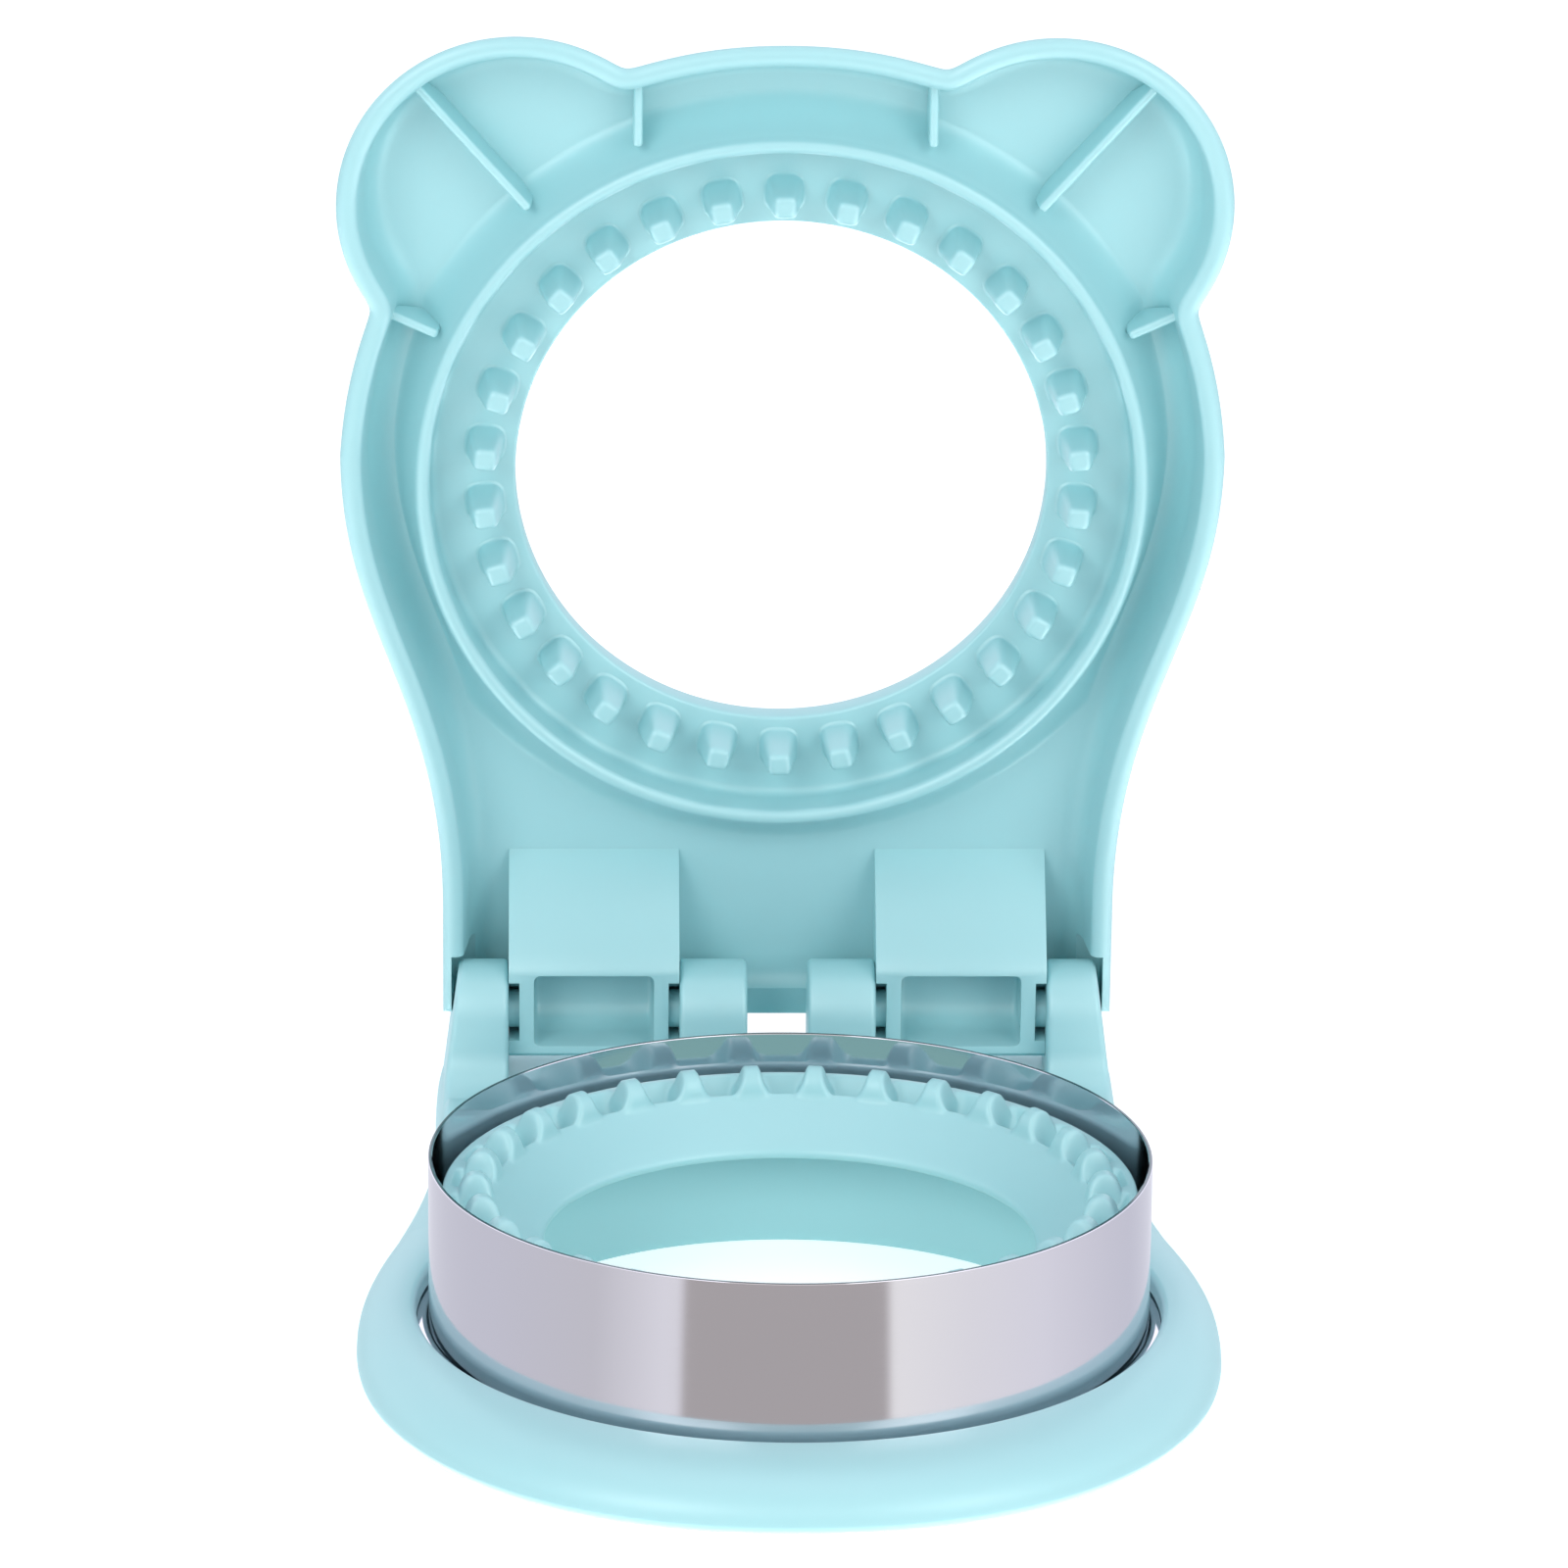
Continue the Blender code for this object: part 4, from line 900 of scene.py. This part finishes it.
def lid_rows():
    """Loops of the lid's section with the lid closed, from the opening outward and back."""
    angles = full_turn(LID_STEPS)
    outline = Outline(lid_half(), angles, LID_TRIM)
    rows = []

    def level(radius, height):
        rows.append(ring_of(angles, radius, height))

    for bearing in bearings(LID_HOLE_DEGREES):
        level(LID_HOLE + LID_HOLE_ROUND * (1.0 - math.cos(bearing)),
              SEAL_FACE + LID_HOLE_ROUND * (1.0 - math.sin(bearing)))
    for radius in SEAL_FACE_RADII:
        level(radius * MM, SEAL_FACE)
    for bearing in bearings(WALL_FOOT_DEGREES):
        level(WALL_INNER - WALL_FOOT_ROUND * (1.0 - math.cos(bearing)),
              SEAL_FACE - WALL_FOOT_ROUND * (1.0 - math.sin(bearing)))
    middle = 0.5 * (WALL_OUTER + WALL_INNER)
    half = 0.5 * (WALL_OUTER - WALL_INNER)
    for bearing in bearings(WALL_CREST_DEGREES):
        level(middle - half * math.cos(bearing), WALL_CREST + half - half * math.sin(bearing))
    wall_foot = outline.inset(FLANK_FOOT_INSET)
    flank_end = np.minimum(WALL_OUTER + FLANK_WIDTH, wall_foot - FLANK_GAP)
    for step in FLANK_SHARES:
        fall = 1.0 - (1.0 - step) ** FLANK_POWER
        level(WALL_OUTER + (flank_end - WALL_OUTER) * step,
              WALL_CREST + FLANK_DROP + (LID_CEILING - WALL_CREST - FLANK_DROP) * fall)
    for step in CEILING_SHARES:
        level(flank_end + (wall_foot - flank_end) * step, LID_CEILING)
    for bearing in bearings(LID_FILLET_DEGREES):
        level(outline.inset(LID_FILLET_INSET + LID_FILLET_WIDTH * (1.0 - math.sin(bearing))),
              LID_CEILING - LID_FILLET_HEIGHT * (1.0 - math.cos(bearing)))
    rim = 0.5 * LID_WALL
    for bearing in bearings(LID_RIM_DEGREES):
        level(outline.inset(rim + rim * math.cos(bearing)),
              LID_RIM + LID_RIM_FLATTEN * rim * (1.0 - math.sin(bearing)))
    for share in LID_SKIN_SHARES:
        level(lid_skin(outline, share), LID_RIM + (LID_TOP - LID_RIM) * share)
    level(LID_TOP_INNER, LID_TOP)
    for bearing in bearings(LID_HOLE_BACK_DEGREES):
        level(LID_HOLE + LID_HOLE_BACK_ROUND * (1.0 - math.cos(bearing)),
              LID_TOP - LID_HOLE_BACK_ROUND * (1.0 - math.sin(bearing)))
    return rows


def make_lid_teeth():
    """Thirty soft blocks with flared roots on the sealing face; one stands at the very front."""
    count = LID_TOOTH_STEPS
    turns = (np.arange(count) + 0.5) * 2.0 * math.pi / count
    cosines, sines = np.cos(turns), np.sin(turns)
    points = []
    faces = []
    for tooth in range(TOOTH_COUNT):
        angle = 2.0 * math.pi * tooth / TOOTH_COUNT
        first = len(points)
        for height, half in LID_TOOTH_SECTIONS:
            power = LID_TOOTH_POWER if half < LID_TOOTH_FLARE else LID_TOOTH_FLARE_POWER
            size = half * (np.abs(cosines) ** power + np.abs(sines) ** power) ** (-1.0 / power)
            out = LID_TOOTH_RADIUS + size * cosines * MM
            along = size * sines * MM
            for o, a in zip(out, along):
                points.append((o * math.sin(angle) + a * math.cos(angle),
                               a * math.sin(angle) - o * math.cos(angle),
                               LID_TOOTH_TOP + height * MM))
        last = len(points) - count
        for a in range(first, last, count):
            b = a + count
            for i in range(count):
                j = (i + 1) % count
                faces.append((a + i, a + j, b + j, b + i))
        faces.append(tuple(range(first, first + count)))
        faces.append(tuple(reversed(range(last, last + count))))
    made = add_mesh("lid_teeth", opened(points).tolist(), faces)
    finish_mesh(made, AQUA, smooth_angle=60.0)
    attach(made, "lid")


def lid_cutters():
    """Cuts that clear the neck of the lid for the arms, the posts and the knuckles."""
    low = LID_RIM - CUT_DEPTH
    ceiling = HINGE_HEIGHT + SLOT_CEILING
    far = CHIN_BACK + OVERRUN
    neck = NECK_HALF_WIDTH + OVERRUN
    end = HINGE_BACK + WALL_END_REACH
    corner = WALL_END_ROUND
    wall_end = [(far, low), (far, ceiling), (end + WALL_END_SLANT, ceiling),
                (end, LID_RIM + corner)]
    for bearing in bearings(WALL_END_DEGREES):
        wall_end.append((end - corner * (1.0 - math.cos(bearing)),
                         LID_RIM + corner * (1.0 - math.sin(bearing))))
    wall_end.append((wall_end[-1][0], low))

    def reaching(front):
        front = HINGE_BACK - front
        return [(front, low), (far, low), (far, ceiling), (front, ceiling)]

    slot = reaching(SLOT_REACH)
    slot_inner = KNUCKLE_OUTER - KNUCKLE_WALL
    slot_outer = arm_outer(LID_RIM) + SLOT_CLEARANCE
    return [
        prism("wall_end", wall_end, -neck, neck, opened),
        prism("middle", reaching(MIDDLE_REACH), -ARM_INNER, ARM_INNER, opened),
        prism("slot_right", slot, slot_inner, slot_outer, opened),
        prism("slot_left", slot, -slot_outer, -slot_inner, opened),
    ]


def make_lid():
    """Hollow head with its face and raised wall in one loft, cut clear at the hinge."""
    made = skin("lid_body", opened(lid_rows()))
    outward(made.data)
    cut(made, lid_cutters())
    finish_mesh(made, AQUA, smooth_angle=38.0)
    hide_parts("lid_shell")
    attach(made, "lid")


def make_ribs():
    """Six ribs between the raised wall and the outer wall, with rounded crests."""
    side = UPRIGHT_RIB_SIDE
    front_angle = math.asin(side / HEAD_FRONT)
    runs = [(Vector((side, -math.sqrt(UPRIGHT_RIB_START ** 2 - side ** 2))),
             Vector((side, -float(head_radius(front_angle)) * math.cos(front_angle) + RIB_TUCK)))]
    for angle, begin in SLANTED_RIBS:
        outer = float(head_radius(angle)) - RIB_TUCK
        heading = Vector((math.sin(angle), -math.cos(angle)))
        runs.append((heading * begin, heading * outer))
    for number, (start, end) in enumerate(runs):
        along = (end - start).normalized()
        across = Vector((along.y, -along.x)) * RIB_HALF_WIDTH
        length = (end - start).length
        profile = ((RIB_FRONT_CHAMFER, RIB_CREST), (length, RIB_CREST),
                   (length - RIB_TUCK, LID_CEILING - RIB_OUTER_DROP),
                   (length - RIB_OUTER_ROOT, RIB_ROOT), (0.0, RIB_ROOT))
        points = []
        for way in (1.0, -1.0):
            for reach, height in profile:
                place = start + along * reach + across * way
                points.append((place.x, place.y, height))
        rib = add_mesh("rib_%d" % number, opened(points).tolist(), prism_faces(len(profile)))
        rounded(finish_mesh(rib, AQUA), RIB_ROUND, segments=5)
        for piece in (rib, side_twin(rib, "rib_%d_left" % number)):
            finish_mesh(piece, AQUA, smooth_angle=40.0)
            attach(piece, "lid")


def knuckle_profile():
    """Side view of a knuckle: rounded front edge, flat face, round back, ramp to the lid."""
    face = HINGE_HEIGHT - KNUCKLE_FACE_DROP
    root = LID_CEILING + KNUCKLE_ROOT
    back = HINGE_BACK + KNUCKLE_RADIUS
    chin = HINGE_BACK + KNUCKLE_CHIN
    ramp = HINGE_BACK - KNUCKLE_RAMP
    lead = Vector((HINGE_BACK - KNUCKLE_FRONT, face))
    before = lead + (Vector((ramp, LID_CEILING)) - lead).normalized() * KNUCKLE_LEAD_LENGTH
    after = lead + Vector((KNUCKLE_LEAD_BACK, 0.0))
    points = []
    for i in range(KNUCKLE_LEAD_STEPS + 1):
        t = i / KNUCKLE_LEAD_STEPS
        bent = before * (1.0 - t) ** 2 + lead * (2.0 * t * (1.0 - t)) + after * t ** 2
        points.append((bent.x, bent.y))
    points += [(back - KNUCKLE_EDGE, face), (back, face + KNUCKLE_EDGE)]
    points += [on_hinge(KNUCKLE_RADIUS, turn) for turn in bearings(KNUCKLE_BACK_DEGREES)]
    points += [(chin, LID_CEILING), (chin, root), (ramp, root), (ramp, LID_CEILING)]
    return points


def pocket_profile():
    """Side view of the scooped pocket in a knuckle's face."""
    mouth = HINGE_HEIGHT - MOUTH_DROP
    front = HINGE_BACK - POCKET_FRONT
    back = HINGE_BACK + POCKET_BACK
    points = [(front, mouth), (back, mouth)]
    for bearing in bearings(POCKET_DEGREES):
        points.append((back - POCKET_RADIUS * (1.0 - math.cos(bearing)),
                       HINGE_HEIGHT + POCKET_RISE + POCKET_RADIUS * math.sin(bearing)))
    points.append((front, HINGE_HEIGHT + POCKET_FRONT_RISE))
    return points


def channel_profile():
    """Lead-in for a stub pin: open at the face, round at the hinge axis."""
    mouth = HINGE_HEIGHT - MOUTH_DROP
    lead = HINGE_BACK - CHANNEL_LEAD
    points = [(lead - CHANNEL_MOUTH, mouth), (HINGE_BACK + CHANNEL_RADIUS, mouth)]
    points += [on_hinge(CHANNEL_RADIUS, math.pi * i / CHANNEL_STEPS)
               for i in range(CHANNEL_STEPS + 1)]
    points += [(lead + CHANNEL_THROAT, HINGE_HEIGHT - CHANNEL_THROAT_DROP),
               (lead, HINGE_HEIGHT - CHANNEL_LEAD_DROP)]
    return points


def make_knuckles():
    """Hollow hinge blocks with lead-in channels and pin holes."""
    block = prism("knuckle", knuckle_profile(), KNUCKLE_INNER, KNUCKLE_OUTER, opened)
    wall_outer = KNUCKLE_OUTER - KNUCKLE_WALL
    wall_inner = KNUCKLE_INNER + KNUCKLE_WALL
    low = wall_inner + POCKET_INSET
    high = wall_outer - POCKET_INSET
    channel = channel_profile()
    hole = circle_profile(PIN_RADIUS + PIN_HOLE_GAP)
    pocket = prism("pocket", pocket_profile(), low, high, opened)
    cut(block, [
        rounded(pocket, POCKET_ROUND, segments=4, angle=50.0),
        prism("outer_channel", channel, wall_outer, KNUCKLE_OUTER + OVERRUN, opened),
        prism("inner_channel", channel, KNUCKLE_INNER - OVERRUN, wall_inner, opened),
        prism("outer_hole", hole, high - OVERRUN, wall_outer + OVERRUN, opened),
        prism("inner_hole", hole, wall_inner - OVERRUN, low + OVERRUN, opened),
    ])
    rounded(block, KNUCKLE_ROUND, angle=50.0)
    for piece in (block, side_twin(block, "knuckle_left")):
        finish_mesh(piece, AQUA, smooth_angle=30.0)
        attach(piece, "lid")


make_cutter_ring()
make_sealing_ring()
make_base()
make_hinge_stands()
make_lid()
make_lid_teeth()
make_ribs()
make_knuckles()


# Floor, light and camera

def card(name, reach, middle, height, look):
    """A flat square stage card."""
    corners = [(-reach, middle - reach, height), (reach, middle - reach, height),
               (reach, middle + reach, height), (-reach, middle + reach, height)]
    made = add_mesh(name, corners, [(0, 1, 2, 3)])
    made.data.materials.append(look)
    return made


floor = card("floor", reach=FLOOR_REACH, middle=0.0, height=0.0,
             look=plain_surface("pale_floor", FLOOR_COLOUR, roughness=0.9, lift=0.5))
floor.visible_glossy = False

pane = card("glossy_pane", reach=PANE_REACH, middle=RING_Y, height=PANE_HEIGHT,
            look=glow("green_grey_pane", PANE_COLOUR, strength=1.0))
pane.visible_camera = False
pane.visible_diffuse = False
pane.visible_shadow = False


def studio():
    """Soft room: even for diffuse light, in fields for reflections, white for the camera."""
    world = bpy.data.worlds.new("studio")
    bpy.context.scene.world = world
    world.use_nodes = True
    tree = world.node_tree
    room = set_values(tree.nodes["Background"], in_Color=linear(ROOM_COLOUR),
                      in_Strength=ROOM_STRENGTH)
    place = add_node(tree, "ShaderNodeTexCoord")
    axes = add_node(tree, "ShaderNodeSeparateXYZ")
    back = add_node(tree, "ShaderNodeMath", operation="MULTIPLY")
    back.inputs[1].default_value = -1.0
    around = add_node(tree, "ShaderNodeMath", operation="ARCTAN2")
    share = add_node(tree, "ShaderNodeMapRange", in_From_Min=-math.pi, in_From_Max=math.pi)
    steps = add_node(tree, "ShaderNodeValToRGB")
    ramp = steps.color_ramp
    for stop, colour in MIRROR_STOPS:
        ramp.elements.new(stop).color = [MIRROR_SHARE * value for value in colour] + [1.0]
    ramp.elements.remove(ramp.elements[-1])
    ramp.elements.remove(ramp.elements[0])
    upper = add_node(tree, "ShaderNodeMapRange", in_From_Min=-0.1, in_From_Max=0.15,
                     in_To_Min=MIRROR_LEVEL, in_To_Max=MIRROR_TOP)
    lower = add_node(tree, "ShaderNodeMapRange", in_From_Min=-0.4, in_From_Max=-0.55,
                     in_To_Min=0.0, in_To_Max=MIRROR_BELOW)
    both = add_node(tree, "ShaderNodeMath", operation="ADD")
    mirrored = add_node(tree, "ShaderNodeBackground")
    seen = add_node(tree, "ShaderNodeBackground", in_Color=WHITE)
    path = add_node(tree, "ShaderNodeLightPath")
    first = add_node(tree, "ShaderNodeMixShader")
    second = add_node(tree, "ShaderNodeMixShader")
    link(tree,
         (place, "Generated", axes, "Vector"),
         (axes, "Y", back, 0),
         (axes, "X", around, 0),
         (back, "Value", around, 1),
         (around, "Value", share, "Value"),
         (share, "Result", steps, "Fac"),
         (axes, "Z", upper, "Value"),
         (axes, "Z", lower, "Value"),
         (upper, "Result", both, 0),
         (lower, "Result", both, 1),
         (steps, "Color", mirrored, "Color"),
         (both, "Value", mirrored, "Strength"),
         (path, "Is Glossy Ray", first, "Fac"),
         (room, "Background", first, 1),
         (mirrored, "Background", first, 2),
         (path, "Is Camera Ray", second, "Fac"),
         (first, "Shader", second, 1),
         (seen, "Background", second, 2),
         (second, "Shader", tree.nodes["World Output"], "Surface"))


def soft_light(name, place, aim, size, power):
    """A square softbox aimed at a place."""
    lamp = bpy.data.lights.new(name, "AREA")
    lamp.shape = "RECTANGLE"
    lamp.size = size
    lamp.size_y = size
    lamp.energy = power
    made = bpy.data.objects.new(name, lamp)
    made.location = place
    heading = Vector(aim) - Vector(place)
    made.rotation_euler = heading.to_track_quat("-Z", "Y").to_euler()
    bpy.context.collection.objects.link(made)


def photo_camera():
    """Camera at the photograph's place: about 1.2 m away, 18 degrees down, with a long lens."""
    level = math.cos(CAMERA_PITCH)
    forward = Vector((math.sin(CAMERA_YAW) * level, math.cos(CAMERA_YAW) * level,
                      -math.sin(CAMERA_PITCH)))
    right = Vector((math.cos(CAMERA_YAW), -math.sin(CAMERA_YAW), 0.0))
    up = right.cross(forward)
    place = (Vector(CAMERA_AIM) - forward * CAMERA_DISTANCE
             - right * (PIXELS_LEFT / PIXELS_PER_METRE) + up * (PIXELS_UP / PIXELS_PER_METRE))
    level_right = right * math.cos(CAMERA_ROLL) + up * math.sin(CAMERA_ROLL)
    level_up = up * math.cos(CAMERA_ROLL) - right * math.sin(CAMERA_ROLL)
    camera = bpy.data.objects.new("photo_camera", bpy.data.cameras.new("photo_camera"))
    camera.data.sensor_width = CAMERA_SENSOR
    camera.data.lens = CAMERA_SENSOR * PIXELS_PER_METRE * CAMERA_DISTANCE / PHOTO_WIDTH
    camera.data.clip_end = CAMERA_REACH
    turn = Matrix((level_right, level_up, -forward)).transposed().to_4x4()
    camera.matrix_world = Matrix.Translation(place) @ turn
    bpy.context.collection.objects.link(camera)
    bpy.context.scene.camera = camera


studio()
soft_light("key_light", place=(-0.8, -1.3, 0.9), aim=(0.0, 0.0, 0.06), size=0.9, power=9.6)
soft_light("fill_light", place=(0.9, -1.1, 0.7), aim=(0.0, 0.0, 0.06), size=0.9, power=6.8)
soft_light("top_light", place=(0.0, 0.1, 1.4), aim=(0.0, 0.0, 0.05), size=1.0, power=2.0)
photo_camera()
bpy.context.scene.view_settings.view_transform = "Standard"

bpy.context.view_layer.update()
